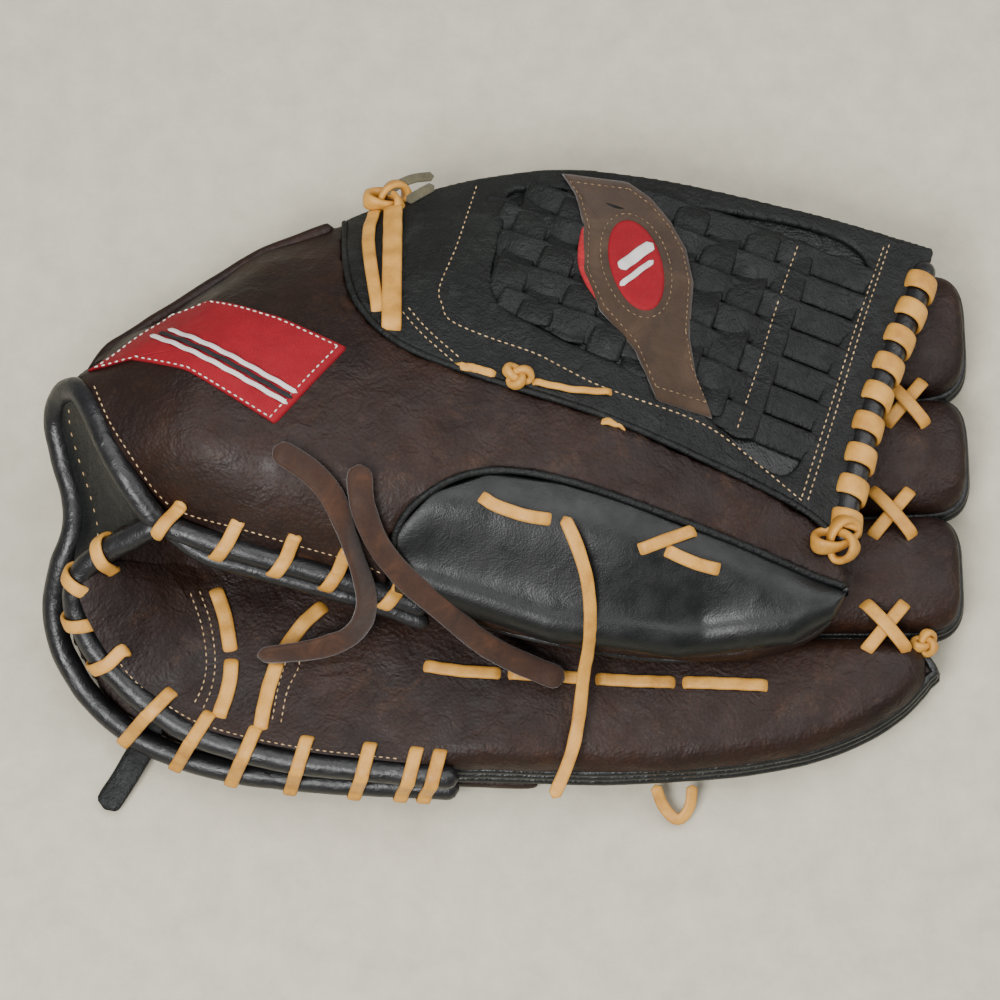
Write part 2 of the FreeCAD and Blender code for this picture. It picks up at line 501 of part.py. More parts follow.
def thumb_side():
    """The thumb, the back of the hand over it and the web, which open together."""
    nodes = {}
    brown = outline(FOLD_EDGE[:5], WEB_EDGE, [WEB_EDGE[-1], PANEL_TOP[-1]], PANEL_TOP[::-1], THUMB_EDGE[5::-1],
                    [THUMB_EDGE[0], FOLD_EDGE[0]])
    shell = prism(brown).common(sheet(thumb_top, -SHELL, 0))
    panel = outline(PANEL_TOP, THUMB_EDGE[:4:-1])
    nodes["thumb_panel"] = prism(panel).common(sheet(thumb_top, -SHELL, 0))
    # underside, padding and lining of the thumb, and its wall along the free edge
    edge = THUMB_EDGE[3:]
    inner_edge = [(x - 0.3, y + SHELL) for x, y in edge]
    inner_edge[-1] = (edge[-1][0] - SHELL, edge[-1][1] + 1)
    rim = outline(edge, [edge[-1], inner_edge[-1]], inner_edge[::-1], [inner_edge[0], edge[0]])
    thumb_inner = [(-98, 52), (-60, 50), (-34, 36), (-8, 25), (34, 12), (67, -1), (101, -16), (110, -26)]
    under_face = outline([(x + 0.5, y + 0.8) for x, y in edge], [(edge[-1][0] + 0.5, edge[-1][1] + 0.8), thumb_inner[-1]],
                         thumb_inner[::-1], [thumb_inner[0], (edge[0][0] + 0.5, edge[0][1] + 0.8)])
    under = prism(under_face).common(sheet(thumb_under, 0, SHELL))
    side = prism(rim, 20, 120).common(below(thumb_top, -SHELL - GAP)).common(above(thumb_under, SHELL + GAP))
    nodes["thumb_front"] = keep_solids(under)
    nodes["thumb_side_wall"] = keep_solids(side)
    soft_face = loop([(-102, -12), (-70, -22), (-36, -29), (5, -38), (40, -41), (62, -37), (68, -26), (52, -8),
                      (20, 6), (-20, 22), (-50, 34), (-84, 36), (-100, 14)])
    nodes["thumb_pad"] = prism(soft_face).common(sheet(thumb_under, SHELL + GAP, SHELL + GAP + THUMB_PAD))
    deep = SHELL + THUMB_PAD + 2 * GAP
    nodes["thumb_lining"] = prism(soft_face).common(sheet(thumb_under, deep, deep + LINING))
    # the fold behind the hand: a wall and the leather that returns under it
    back_edge = FOLD_EDGE[1:5]
    (x_start, y_start), (x_end, y_end) = back_edge[0], back_edge[-1]
    inner_line = [(x_end, y_end - SHELL)] + [(x + 1, y - SHELL) for x, y in back_edge[-2::-1]]
    wall = outline(back_edge, [(x_end, y_end), inner_line[0]], inner_line, [inner_line[-1], (x_start, y_start)])
    low = AXIS_A.z - 2
    fold_wall = prism(wall, low, 120).common(below(thumb_top, -SHELL))
    back_return = outline(back_edge, [back_edge[-1], (-55, fold_y(-55) + RETURN_CLEAR)],
                          [(-55, fold_y(-55) + RETURN_CLEAR), (-136, fold_y(-136) + RETURN_CLEAR)],
                          [(-136, fold_y(-136) + RETURN_CLEAR), back_edge[0]])
    nodes["hand_back_fold"] = keep_solids(fold_wall.fuse(prism(back_return, low, low + SHELL)).removeSplitter())
    nodes["thumb_back"] = keep_solids(shell.cut(nodes["hand_back_fold"]))
    # web: backing, border and woven squares, and its lower half under the fold
    web = outline([(x + SEAM, y + 0.3) for x, y in WEB_EDGE], [(WEB_EDGE[-1][0] + SEAM, WEB_EDGE[-1][1] + 0.3), WEB_TIP[1]],
                  WEB_TIP[1:], FOLD_EDGE[:3:-1][:-1] + [(WEB_EDGE[0][0] + SEAM, WEB_EDGE[0][1] + 0.3)])
    column = prism(web)
    nodes["web_base"] = column.common(sheet(thumb_top, -WEB, -WEB / 2))
    weave = loop(WEAVE)
    nodes["web_border"] = keep_solids(column.cut(prism(weave)).common(sheet(thumb_top, -WEB / 2 + GAP, 0)))
    top_ply = sheet(thumb_top, -WEB / 2 + GAP, 0)
    within = prism(loop(WEAVE_CORE))
    for label, cells in zip(("cross", "long"), weave_cells(loop(WEAVE_CENTRES))):
        ply = within.common(top_ply)
        nodes["web_weave_" + label] = keep_solids(ply.common(Part.makeCompound(cells)))
    rim = FOLD_EDGE[4:]
    rim = [(-54, 98.4)] + rim[1:]
    lower = outline(rim, [rim[-1], (rim[-1][0] - 1, rim[-1][1] - WEB / 2)],
                    [(rim[-1][0] - 1, rim[-1][1] - WEB / 2)] + [(x, y - WEB / 2) for x, y in rim[-2:0:-1]] +
                    [(-54, 96.4)], [(-54, 96.4), (-54, 98.4)])
    drop = prism(lower, low, 120).common(below(thumb_top, -WEB - GAP))
    inner = [(-54, fold_y(-54) + RETURN_CLEAR), (120, fold_y(120) + RETURN_CLEAR)]
    web_return = outline(rim[:-1] , [rim[-2], inner[1]], inner[::-1], [inner[0], rim[0]])
    nodes["web_outer_wall"] = keep_solids(drop.cut(slab(-10, low + WEB / 2 + GAP)))
    nodes["web_lower_half"] = prism(web_return, low, low + WEB / 2)
    tip_line = lift([(116.5, -21)] + WEB_TIP[1:-1] + [(151, 84)], thumb_top, -1.4)
    tip_roll = tube(tip_line, ROLL_R + 0.6)
    nodes["web_tip_roll"] = keep_solids(tip_roll.cut(nodes["web_base"]).cut(nodes["web_border"]).cut(
        nodes["web_outer_wall"]).cut(nodes["thumb_back"]))
    wraps = band(tip_line, 6.5, [0.1, 0.2, 0.3, 0.4, 0.5, 0.6, 0.7, 0.8, 0.9], LACE_T, ROLL_R + 0.6 + GAP)
    nodes["web_tip_lace"] = Part.makeCompound([keep_solids(w.cut(nodes["web_base"]).cut(nodes["web_border"]).cut(
        nodes["web_outer_wall"])) for w in wraps])
    # badge strap over the web, with its felt and oval
    strap = loop(STRAP)
    nodes["badge_strap"] = prism(strap).common(sheet(thumb_top, GAP, GAP + 2.2))
    cx, cy, rx, ry, turn = BADGE
    nodes["badge_oval"] = prism(oval((cx, cy), (rx, ry), turn)).common(sheet(thumb_top, 2 * GAP + 2.2, 2 * GAP + 3.2))
    nodes["badge_felt"] = keep_solids(prism(ribbon(FELT_EDGE, 5.0)).cut(
        prism(strap)).common(sheet(thumb_top, GAP, GAP + 2.6)))
    # patch on the back of the hand
    patch = loop(PATCH)
    nodes["hand_patch"] = prism(patch).common(sheet(thumb_top, GAP, GAP + 1.2))
    stripes = [ribbon([(-118, 45), (-96, 32), (-70, 17)], 1.6), ribbon([(-112, 47), (-93, 36), (-67, 21)], 1.6)]
    nodes["hand_patch_stripes"] = Part.makeCompound(
        [prism(s).common(sheet(thumb_top, 2 * GAP + 1.2, 2 * GAP + 1.7)) for s in stripes])
    # rolled bindings of the thumb
    heel_line = lift([(-113, -17.5), (-98, -24), (-84, -28), (-62, -34), (-40, -40), (-24, -44.5)], thumb_top, -1.6)
    heel_roll = tube(heel_line, ROLL_R)
    parts = (nodes["thumb_back"], nodes["thumb_panel"], nodes["thumb_side_wall"])
    nodes["thumb_heel_roll"] = keep_solids(heel_roll.cut(parts[0]).cut(parts[1]).cut(parts[2]))
    wraps = band(heel_line, LACE_W, [0.12, 0.32, 0.52, 0.72, 0.92], LACE_T, ROLL_R + GAP)
    nodes["thumb_heel_lace"] = Part.makeCompound(
        [keep_solids(w.cut(parts[0]).cut(parts[1]).cut(parts[2])) for w in wraps])
    wrist = lift([(-118, -14.5), (-124, -6), (-130, 4), (-138, 24), (-146, 31)], thumb_top, -1.2) + [(-153, 25, 57)]
    wrist_roll = tube(wrist, ROLL_R)
    nodes["thumb_wrist_roll"] = keep_solids(wrist_roll.cut(parts[0]).cut(nodes["hand_back_fold"]))
    piping = lift([(12, -56), (36, -59.8), (60, -61.2), (98, -57.4), (110, -51.2)], thumb_top, -SHELL - 1.6)
    nodes["thumb_piping"] = tube(piping, 1.4)
    # laces sewn through the thumb and the web
    nodes["panel_laces"] = Part.makeCompound(
        [strip_on(thumb_top, line, LACE_W, GAP, LACE_T) for line in PANEL_LACES])
    nodes["web_corner_lace"] = strip_on(thumb_top, [(-38, 93), (-37.5, 78), (-38, 62), (-38, 47)], LACE_W, GAP, LACE_T)
    z = thumb_top(-40, 100)
    nodes["web_corner_knot"] = knot((-40, 101.5, z + GAP + 3.4), (15, 11, 9), 0)
    nodes["web_edge_knot"] = knot((5.5, 30.5, thumb_top(5, 30) + GAP + 0.4), (8, 6, 4), -15)
    nodes["web_edge_lace"] = Part.makeCompound(
        [strip_on(thumb_top, line, LACE_W * 0.8, GAP, LACE_T) for line in WEB_EDGE_LACES])
    tip_knot = knot((118.5, -30, thumb_top(118, -30) - 2.0), (13, 12, 8), 30)
    for other in ("thumb_back", "thumb_panel", "web_tip_roll", "web_tip_lace", "web_base", "web_border"):
        tip_knot = tip_knot.cut(nodes[other])
    nodes["web_tip_knot"] = keep_solids(tip_knot)
    nodes["thumb_lace_tail"] = cord(LACE_TAIL, TAIL_D / 2)
    nodes["thong_long"] = cord(THONG_B, THONG_D / 2)
    nodes["thong_short"] = cord(THONG_A, THONG_D / 2)
    return nodes


CORDS = ("thumb_lace_tail", "thong_long", "thong_short")


def build():
    """Every node, with the box round all but the free laces centred over the origin."""
    nodes = finger_side()
    nodes.update(thumb_side())
    nodes = {name: keep_solids(shape) for name, shape in nodes.items()}
    box = FreeCAD.BoundBox()
    for name, shape in nodes.items():
        if name not in CORDS:
            for point in shape.tessellate(0.2)[0]:
                box.add(point)
    move = V(-box.Center.x, -box.Center.y, -box.ZMin)
    print("moved by", move, "fold through", AXIS_A + move, AXIS_B + move)
    print("size", box.XLength, box.YLength, box.ZLength)
    for shape in nodes.values():
        shape.translate(move)
    return nodes


if __name__ == "__main__":
    os.makedirs("parts", exist_ok=True)
    for name, shape in build().items():
        shape.exportStep("parts/" + name + ".step")
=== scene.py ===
"""Looks for the closed fielding glove: leather, bindings, rawhide lacing, patches and stitching.

Lengths inside this file are millimetres in the glove's own plan: x from heel to fingertips, y from the
little finger to the fold, z up. TO_FRAME turns them into the frame's metres.
"""
import json
import math

import bmesh
import bpy
from bpy.props import FloatProperty, FloatVectorProperty, PointerProperty
from mathutils import Matrix, Vector, noise
from mathutils.bvhtree import BVHTree

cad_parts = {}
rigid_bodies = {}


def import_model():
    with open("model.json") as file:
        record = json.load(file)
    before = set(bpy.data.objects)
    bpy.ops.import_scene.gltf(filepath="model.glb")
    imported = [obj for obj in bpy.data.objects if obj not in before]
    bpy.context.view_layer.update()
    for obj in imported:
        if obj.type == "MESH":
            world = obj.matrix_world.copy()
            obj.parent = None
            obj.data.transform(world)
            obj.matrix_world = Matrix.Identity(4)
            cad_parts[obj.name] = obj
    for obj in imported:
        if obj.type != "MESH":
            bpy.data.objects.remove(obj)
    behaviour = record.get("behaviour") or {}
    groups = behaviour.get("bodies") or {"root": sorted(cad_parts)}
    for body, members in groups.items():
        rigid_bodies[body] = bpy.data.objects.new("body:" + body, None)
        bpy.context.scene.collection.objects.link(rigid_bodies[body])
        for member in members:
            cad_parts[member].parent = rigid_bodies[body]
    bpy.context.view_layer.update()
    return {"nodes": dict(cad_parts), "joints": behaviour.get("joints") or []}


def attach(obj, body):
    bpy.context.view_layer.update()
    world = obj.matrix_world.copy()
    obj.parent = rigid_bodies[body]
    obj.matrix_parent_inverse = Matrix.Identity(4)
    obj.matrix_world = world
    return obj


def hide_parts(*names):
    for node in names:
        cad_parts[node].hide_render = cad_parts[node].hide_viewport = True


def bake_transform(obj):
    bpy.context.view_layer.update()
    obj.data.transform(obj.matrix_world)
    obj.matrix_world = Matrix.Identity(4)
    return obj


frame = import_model()

bl_info = {
    "name": "Fielding Glove",
    "version": (1, 0, 0),
    "blender": (4, 5, 0),
    "location": "View3D > Sidebar > Glove",
    "description": "Leather, lacing and trim of a closed baseball fielding glove",
    "category": "Object",
}

# ---- the glove's plan and how it sits in the frame ------------------------------------------------
FOLD_A, FOLD_B = Vector((-145, 34, 11)), Vector((160, 95, 11))
FOLD_MID = (FOLD_A + FOLD_B) / 2
OFFSET = Vector(frame["joints"][0]["pos_m"]) * 1000 - FOLD_MID
TO_FRAME = Matrix.Diagonal((0.001, 0.001, 0.001, 1)) @ Matrix.Translation(OFFSET)
FROM_FRAME = TO_FRAME.inverted()
FINGER, THUMB = "finger_side", "thumb_side"

PALM_Z, TIP_DROP, BOWL_RISE = 31.0, 6.0, 22.0
CROWN_Z, EDGE_Z, THUMB_FALL = 91.0, 46.0, 26.0
FOLD_EDGE = [(-145, 37), (-139, 49), (-119, 63), (-85, 86), (-55, 98), (-18, 111), (26, 117), (72, 110),
             (107, 103), (154, 90)]
THUMB_EDGE = [(-145, 33), (-138, 25), (-129, 5), (-115, -15), (-84, -27), (-36, -39), (17, -55), (60, -59),
              (98, -55), (112, -47), (117, -38)]
PANEL_TOP = [(-36, -39), (-34, -23), (-22, -11), (-4, -4), (20, -6), (50, -15), (83, -26), (104, -34),
             (117, -38)]
WEB_EDGE = [(-55, 98), (-53, 74), (-48, 57), (-34, 42), (-8, 31), (34, 18), (67, 5), (101, -10), (116, -22)]
WEB_TIP = [(116, -22), (118, -9), (122, 5), (126, 20), (131, 34), (138, 51), (146, 69), (152, 86)]
HEEL_ROLL = [(-113, -18, 66), (-123, -21.5, 61), (-133, -25, 56), (-141, -30, 51), (-145, -38, 45),
             (-143, -47, 39), (-137, -57, 34), (-126, -68, 29), (-114, -77, 27), (-103, -83, 26),
             (-86, -88.5, 25), (-69, -92, 25), (-45, -94.5, 25), (-14, -97.5, 25)]
WRIST_ROLL = [(-113, -19, 66), (-120, -11, 71), (-126, -2, 74), (-132, 9, 75), (-137, 20, 74),
              (-143, 28, 69), (-149.5, 29, 60), (-153, 23, 51), (-151.5, 12, 45), (-147.5, -2, 41),
              (-147.5, -14, 39), (-152, -25, 34), (-155, -37, 26), (-153.5, -49, 20), (-148, -60, 16),
              (-140, -70, 13.5), (-127, -80.5, 12), (-113, -87, 11.5), (-98, -91.5, 11.5),
              (-84, -94, 11.5), (-60, -96.5, 12), (-14, -99, 13)]
WRIST_BAND = ([(-149, 27, 62), (-152.5, 20, 51), (-151, 10, 45), (-147.5, -4, 41), (-146, -16, 40),
               (-146, -27, 44)],
              [(-142, 25, 69), (-137, 17, 72), (-131, 5, 73), (-126, -4, 71), (-121, -12, 67),
               (-119, -19, 61)])
THUMB_ROLL = [(-113, -18, 66), (-100, -23, 66), (-84, -27.5, 64), (-66, -32, 61), (-48, -36.5, 58),
              (-36, -40, 55), (-24, -44, 52)]


def along(points, x):
    """The y of a heel-to-tip outline at x."""
    pts = sorted(points)
    if x <= pts[0][0]:
        return pts[0][1]
    for (xa, ya), (xb, yb) in zip(pts, pts[1:]):
        if x <= xb:
            return ya + (yb - ya) * (x - xa) / max(xb - xa, 1e-9)
    return pts[-1][1]


def ease(t):
    """0 to 1 with flat ends."""
    t = max(0.0, min(1.0, t))
    return t * t * (3 - 2 * t)


def mix(a, b, t):
    return a + (b - a) * t


HEEL_LINE = [(x, y, z + 1.4 * ease((x + 140) / 20)) for x, y, z in HEEL_ROLL]


def rounding(distance, radius):
    """0 at an edge, 1 a radius inside it, along a quarter circle."""
    return math.sqrt(max(0.0, 1 - (1 - min(max(distance, 0.0) / radius, 1.0)) ** 2))


def fold_y(x):
    return mix(FOLD_A.y, FOLD_B.y, (x - FOLD_A.x) / (FOLD_B.x - FOLD_A.x))


def palm_top(x, y):
    """Height of the palm leather: a shallow palm that curls up at the heel."""
    bowl = BOWL_RISE * ease((-x - 98) / 45) * ease((y + 80) / 52) * (1 - 0.8 * ease((y + 22) / 25))
    dish = 3.0 * math.exp(-((x + 40) / 60) ** 2 - ((y + 10) / 45) ** 2)
    return PALM_Z + bowl - dish - TIP_DROP * ease((x - 40) / 110)


def ridge_y(x):
    return 10 - 0.235 * (x + 95)


def thumb_top(x, y):
    """Height of the outside of the thumb half."""
    ridge = CROWN_Z - 0.12 * (x + 95) - 10 * ease((x - 30) / 95) - 22 * ease((-95 - x) / 55)
    if y > ridge_y(x):
        t = (y - ridge_y(x)) / (along(FOLD_EDGE, x) - ridge_y(x))
        return ridge - (ridge - EDGE_Z + 8 * ease((x - 60) / 90)) * min(t, 1.15) ** 2.2
    t = (ridge_y(x) - y) / max(ridge_y(x) - along(THUMB_EDGE, x), 30.0)
    return ridge - THUMB_FALL * min(t, 1.2) ** 2 * (1 - 0.55 * ease((x - 70) / 50))


def curve_through(points, step=1.5):
    """Evenly spaced points on a smooth line through the given ones."""
    pts = [Vector(p) for p in points]
    ends = [pts[0] * 2 - pts[1], *pts, pts[-1] * 2 - pts[-2]]
    dense = []
    for a, b, c, d in zip(ends, ends[1:], ends[2:], ends[3:]):
        for k in range(16):
            t = k / 16
            dense.append(0.5 * ((2 * b) + (c - a) * t + (2 * a - 5 * b + 4 * c - d) * t * t
                                + (3 * b - a - 3 * c + d) * t ** 3))
    dense.append(pts[-1])
    return spaced(dense, step)


def spaced(points, step):
    """The same line with points every step or so."""
    total = sum((b - a).length for a, b in zip(points, points[1:]))
    count = max(2, round(total / step))
    out, done, goal = [points[0].copy()], 0.0, total / count
    for a, b in zip(points, points[1:]):
        length = (b - a).length
        while length > 0 and done + length >= goal * len(out) - 1e-6 and len(out) < count:
            out.append(a.lerp(b, (goal * len(out) - done) / length))
        done += length
    out.append(points[-1].copy())
    return out


def wrinkle(p, size, seed=0.0):
    """Smooth noise from -1 to 1 at a size in millimetres."""
    return noise.noise(Vector((p.x / size + seed, p.y / size - seed, p.z / size + 2 * seed)))


# ---- meshes ---------------------------------------------------------------------------------------
MATERIALS = {}         # by name, filled by the first step


def ruffle(bm, wrinkles):
    """Moves each point along its normal by what wrinkles says, in mm."""
    bm.normal_update()
    for v, by in [(v, v.normal * wrinkles(v.co)) for v in bm.verts]:
        v.co += by


def face_up(bm):
    """Turns a sheet's faces so that its top side is the outside."""
    bmesh.ops.recalc_face_normals(bm, faces=bm.faces)
    bm.normal_update()
    if sum(f.normal.z * f.calc_area() for f in bm.faces) < 0:
        bmesh.ops.reverse_faces(bm, faces=bm.faces)


def ride_both(piece, nodes=()):
    """Bakes a piece's placement into its mesh and hides the CAD nodes it stands in for; the piece is put on no
    body.
    """
    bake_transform(piece)
    if nodes:
        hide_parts(*nodes)


def make_object(bm, name, material, body, replaces=(), wrinkles=None, recalc=True, finish=True):
    """Turns a bmesh in plan millimetres into a finished piece on a body."""
    if recalc:
        bmesh.ops.recalc_face_normals(bm, faces=bm.faces)
    if wrinkles:
        ruffle(bm, wrinkles)
    bmesh.ops.transform(bm, matrix=TO_FRAME, verts=bm.verts)
    for face in bm.faces:
        face.smooth = True
    mesh = bpy.data.meshes.new(name)
    bm.to_mesh(mesh)
    bm.free()
    obj = bpy.data.objects.new(name, mesh)
    bpy.context.scene.collection.objects.link(obj)
    mesh.materials.append(MATERIALS[material])
    if finish:
        if body:
            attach(obj, body)
        if replaces:
            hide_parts(*replaces)
    return obj


def mapped_grid(columns, rows, place, closed=False):
    """A grid of columns by rows, each point put where place(u, v) says, u and v from 0 to 1."""
    bm = bmesh.new()
    bmesh.ops.create_grid(bm, x_segments=columns, y_segments=rows, size=0.5)
    for v in bm.verts:
        v.co = Vector(place(v.co.x + 0.5, v.co.y + 0.5))
    if closed:
        bmesh.ops.remove_doubles(bm, verts=bm.verts, dist=0.002)
    return bm


def thicken(bm, depth):
    """Gives a sheet a thickness, inwards from its face."""
    bmesh.ops.solidify(bm, geom=bm.faces[:] + bm.verts[:] + bm.edges[:], thickness=depth)
    return bm


def frames_along(points, ups):
    """Side, up and way vectors at each point of a line."""
    out = []
    last = len(points) - 1
    for i, p in enumerate(points):
        way = (points[min(i + 1, last)] - points[max(i - 1, 0)]).normalized()
        up = ups(i / max(last, 1)) if callable(ups) else Vector(ups)
        side = way.cross(up).normalized()
        out.append((p, side, side.cross(way).normalized()))
    return out


def swept(bm, stations, half_width, half_thick, around=10, flat=0.55, nose=0.0):
    """Adds a closed strip along stations; flat 1 is round, smaller is squarer, and nose rounds its ends."""
    start = len(bm.verts)
    length = sum((b[0] - a[0]).length for a, b in zip(stations, stations[1:]))
    part = bmesh.new()
    columns = len(stations) - 1
    bmesh.ops.create_grid(part, x_segments=columns, y_segments=around, size=0.5)
    for v in part.verts:
        i = round((v.co.x + 0.5) * columns)
        a = (v.co.y + 0.5) * 2 * math.pi
        p, side, up = stations[i]
        near = min(i, columns - i) * length / max(columns, 1)
        size = max(0.12, rounding(near, nose)) if nose else 1.0
        c, s = math.cos(a), math.sin(a)
        v.co = (p + side * math.copysign(abs(c) ** flat, c) * half_width * size
                + up * math.copysign(abs(s) ** flat, s) * half_thick * size)
    bmesh.ops.remove_doubles(part, verts=part.verts, dist=0.001)
    bmesh.ops.holes_fill(part, edges=[e for e in part.edges if e.is_boundary], sides=0)
    bmesh.ops.recalc_face_normals(part, faces=part.faces)
    scrap = bpy.data.meshes.new("scrap")
    part.to_mesh(scrap)
    part.free()
    bm.from_mesh(scrap)
    bpy.data.meshes.remove(scrap)
    return bm.verts[start:] if start else bm.verts


def roll_mesh(points, radius, step=1.4, around=14, bm=None):
    """A round rolled binding along a line, with round ends."""
    bm = bm or bmesh.new()
    swept(bm, frames_along(curve_through(points, step), (0, 0, 1)), radius, radius, around, 1.0, radius)
    return bm


def soft_copy(nodes, voxel, rounds=4):
    """A bmesh of CAD nodes, merged and remeshed evenly, with its edges rounded, in plan millimetres."""
    bm = bmesh.new()
    for n in nodes:
        bm.from_mesh(frame["nodes"][n].data)
    bmesh.ops.remove_doubles(bm, verts=bm.verts, dist=1e-6)
    mesh = bpy.data.meshes.new("copy")
    bm.to_mesh(mesh)
    bm.free()
    obj = bpy.data.objects.new("copy", mesh)
    bpy.context.scene.collection.objects.link(obj)
    remesh = obj.modifiers.new("even", "REMESH")
    remesh.mode = "VOXEL"
    remesh.voxel_size = voxel / 1000
    evened = bpy.data.meshes.new_from_object(obj.evaluated_get(bpy.context.evaluated_depsgraph_get()))
    bm = bmesh.new()
    bm.from_mesh(evened)
    bpy.data.objects.remove(obj)
    bpy.data.meshes.remove(mesh)
    bpy.data.meshes.remove(evened)
    for _ in range(rounds):
        bmesh.ops.smooth_vert(bm, verts=bm.verts, factor=0.5, use_axis_x=True, use_axis_y=True,
                              use_axis_z=True)
    bmesh.ops.transform(bm, matrix=FROM_FRAME, verts=bm.verts)
    return bm


class Ground:
    """What laces and stitches lie on: heights read from finished pieces."""

    def __init__(self, *names):
        self.trees = []
        for name in names:
            obj = bpy.data.objects[name]
            bm = bmesh.new()
            bm.from_mesh(obj.data)
            bmesh.ops.transform(bm, matrix=FROM_FRAME, verts=bm.verts)
            self.trees.append(BVHTree.FromBMesh(bm))
            bm.free()

    def at(self, x, y, default=0.0):
        """(point, normal) where a plumb line through x, y first meets the pieces from above."""
        best = None
        for tree in self.trees:
            hit = tree.ray_cast(Vector((x, y, 200)), Vector((0, 0, -1)))
            if hit[0] is not None and (best is None or hit[0].z > best[0].z):
                best = (hit[0], hit[1] if hit[1].z > 0 else -hit[1])
        if best is None:
            return Vector((x, y, default)), Vector((0, 0, 1))
        return best

    def height(self, x, y):
        """The leather's height, or the thumb's own where no piece lies."""
        return max(self.at(x, y, -99.0)[0].z, thumb_top(x, y) - 1.0)

    def line(self, points, step, lift=0.0):
        """A smooth plan line laid on the pieces: points and normals."""
        flat = curve_through([(x, y, 0) for x, y in points], step)
        hits = [self.at(p.x, p.y) for p in flat]
        heights = [h[0].z for h in hits]
        count = len(heights)
        smooth = [sum(heights[max(0, i - 2):i + 3]) / len(heights[max(0, i - 2):i + 3]) for i in range(count)]
        return [(Vector((p.x, p.y, z)) + n * lift, n) for p, z, (_, n) in zip(flat, smooth, hits)]


LACE_W, LACE_T = 4.8, 1.7


def lay_lace(bm, ground, points, width=LACE_W, thick=LACE_T, dive=2.4, lift=0.0):
    """A lace that lies on the leather and goes down into a hole at each end."""
    laid = ground.line(points, 1.2, thick * 0.5 + 0.1 + lift)
    last = len(laid) - 1
    stations = []
    for i, (p, n) in enumerate(laid):
        near = min(i, last - i) * 1.2
        p = p - n * dive * (1 - ease(near / 3.4)) + n * 0.25 * math.sin(i * 0.9)
        way = (laid[min(i + 1, last)][0] - laid[max(i - 1, 0)][0]).normalized()
        side = way.cross(n).normalized()
        stations.append((p, side, side.cross(way).normalized()))
    return swept(bm, stations, width / 2, thick / 2, 10, 0.6, 1.6)


def wrap_lace(bm, ground, centre, way, inward, radius, second=None, width=LACE_W, thick=LACE_T, slant=3.2,
              reach=4.5, start=100, end=-95):
    """A lace out of a hole in the leather, over a rolled edge (or a pair of them) and round under it."""
    up = way.cross(inward).normalized()
    if up.z < 0 or (abs(up.z) < 0.3 and up.x > 0):
        up = -up
    path = []
    if reach:
        for out, rise in ((reach, -2.0), (reach - 0.9, 0.5), (reach - 2.4, 1.0)):
            p = centre + inward * (radius + out)
            if ground and abs(way.z) < 0.45:
                p.z = max(ground.at(p.x, p.y, p.z)[0].z, centre.z - 2) + rise
            else:
                p += up * (radius * 0.4 + rise)
            path.append(p)
    hug = radius + thick * 0.55
    arcs = [(centre, start, end)] if second is None else [(centre, start, 25), (second, 50, end)]
    for middle, first, last in arcs:
        for k in range(9):
            a = math.radians(mix(first, last, k / 8))
            path.append(middle - inward * (math.cos(a) * hug) + up * (math.sin(a) * hug))
    line = curve_through(path, 1.1)
    last = len(line) - 1
    for k, p in enumerate(line):
        p += way * slant * (1 - 2 * k / last)
    stations = []
    for i, p in enumerate(line):
        step = (line[min(i + 1, last)] - line[max(i - 1, 0)]).normalized()
        side = (way - step * way.dot(step)).normalized()
        stations.append((p, side, side.cross(step).normalized()))
    return swept(bm, stations, width / 2, thick / 2, 10, 0.6, 1.2)


def nearest(pts, spot):
    """The index of the point of a line nearest a plan spot, or a spot in space."""
    goal = Vector(spot)
    return min(range(1, len(pts) - 1), key=lambda k: (Vector(pts[k][:len(spot)]) - goal).length)


def wraps_on(line, ground, spots, radius, middle, pair=None, **extra):
    """Wraps of lace on a roll, each at the place nearest its spot; the leather lies towards middle."""
    bm = bmesh.new()
    pts = curve_through(line, 1.0)
    lower = curve_through(pair, 1.0) if pair else None
    for spot in spots:
        i = nearest(pts, spot)
        way = (pts[i + 1] - pts[i - 1]).normalized()
        inward = Vector((middle[0] - pts[i].x, middle[1] - pts[i].y, 0))
        inward = (inward - way * inward.dot(way)).normalized()
        second = None
        if pair and len(spot) == 2:
            second = lower[nearest(lower, tuple((pts[i] - inward * 6).xy))]
            second = second - way * (second - pts[i]).dot(way)
        wrap_lace(bm, ground, pts[i], way, inward, radius, second, **extra)
    return bm


def taut_lace(bm, ground, start, end, rise=0.8, width=LACE_W, thick=LACE_T, dive=2.6):
    """A lace pulled straight from one hole to another across a gap."""
    a, b = ground.at(*start)[0], ground.at(*end)[0]
    count = max(6, round((b - a).length / 1.2))
    way = (b - a).normalized()
    side = way.cross(Vector((0, 0, 1))).normalized()
    stations = []
    for i in range(count + 1):
        t = i / count
        near = min(t, 1 - t) * (b - a).length
        lift = thick / 2 + rise * math.sin(math.pi * t) - dive * (1 - ease(near / 3))
        p = a.lerp(b, t) + Vector((0, 0, lift))
        stations.append((p, side, side.cross(way)))
    return swept(bm, stations, width / 2, thick / 2, 10, 0.6, 1.6)


def knot_mesh(bm, centre, size, turn=0.0, width=4.2, thick=2.4):
    """A lace tied in an overhand knot."""
    c, s = math.cos(turn), math.sin(turn)
    line = []
    for k in range(91):
        a = 2 * math.pi * k / 90
        x = (math.sin(a) + 2 * math.sin(2 * a)) / 3 * size[0]
        y = (math.cos(a) - 2 * math.cos(2 * a)) / 3 * size[1]
        line.append(Vector(centre) + Vector((x * c - y * s, x * s + y * c, -math.sin(3 * a) * size[2])))
    stations = []
    for i, p in enumerate(line):
        way = (line[(i + 1) % 90] - line[(i - 1) % 90]).normalized()
        out = (p - Vector(centre)).normalized()
        side = way.cross(out).normalized()
        stations.append((p, side, side.cross(way).normalized()))
    return swept(bm, stations, width / 2, thick / 2, 10, 0.7)


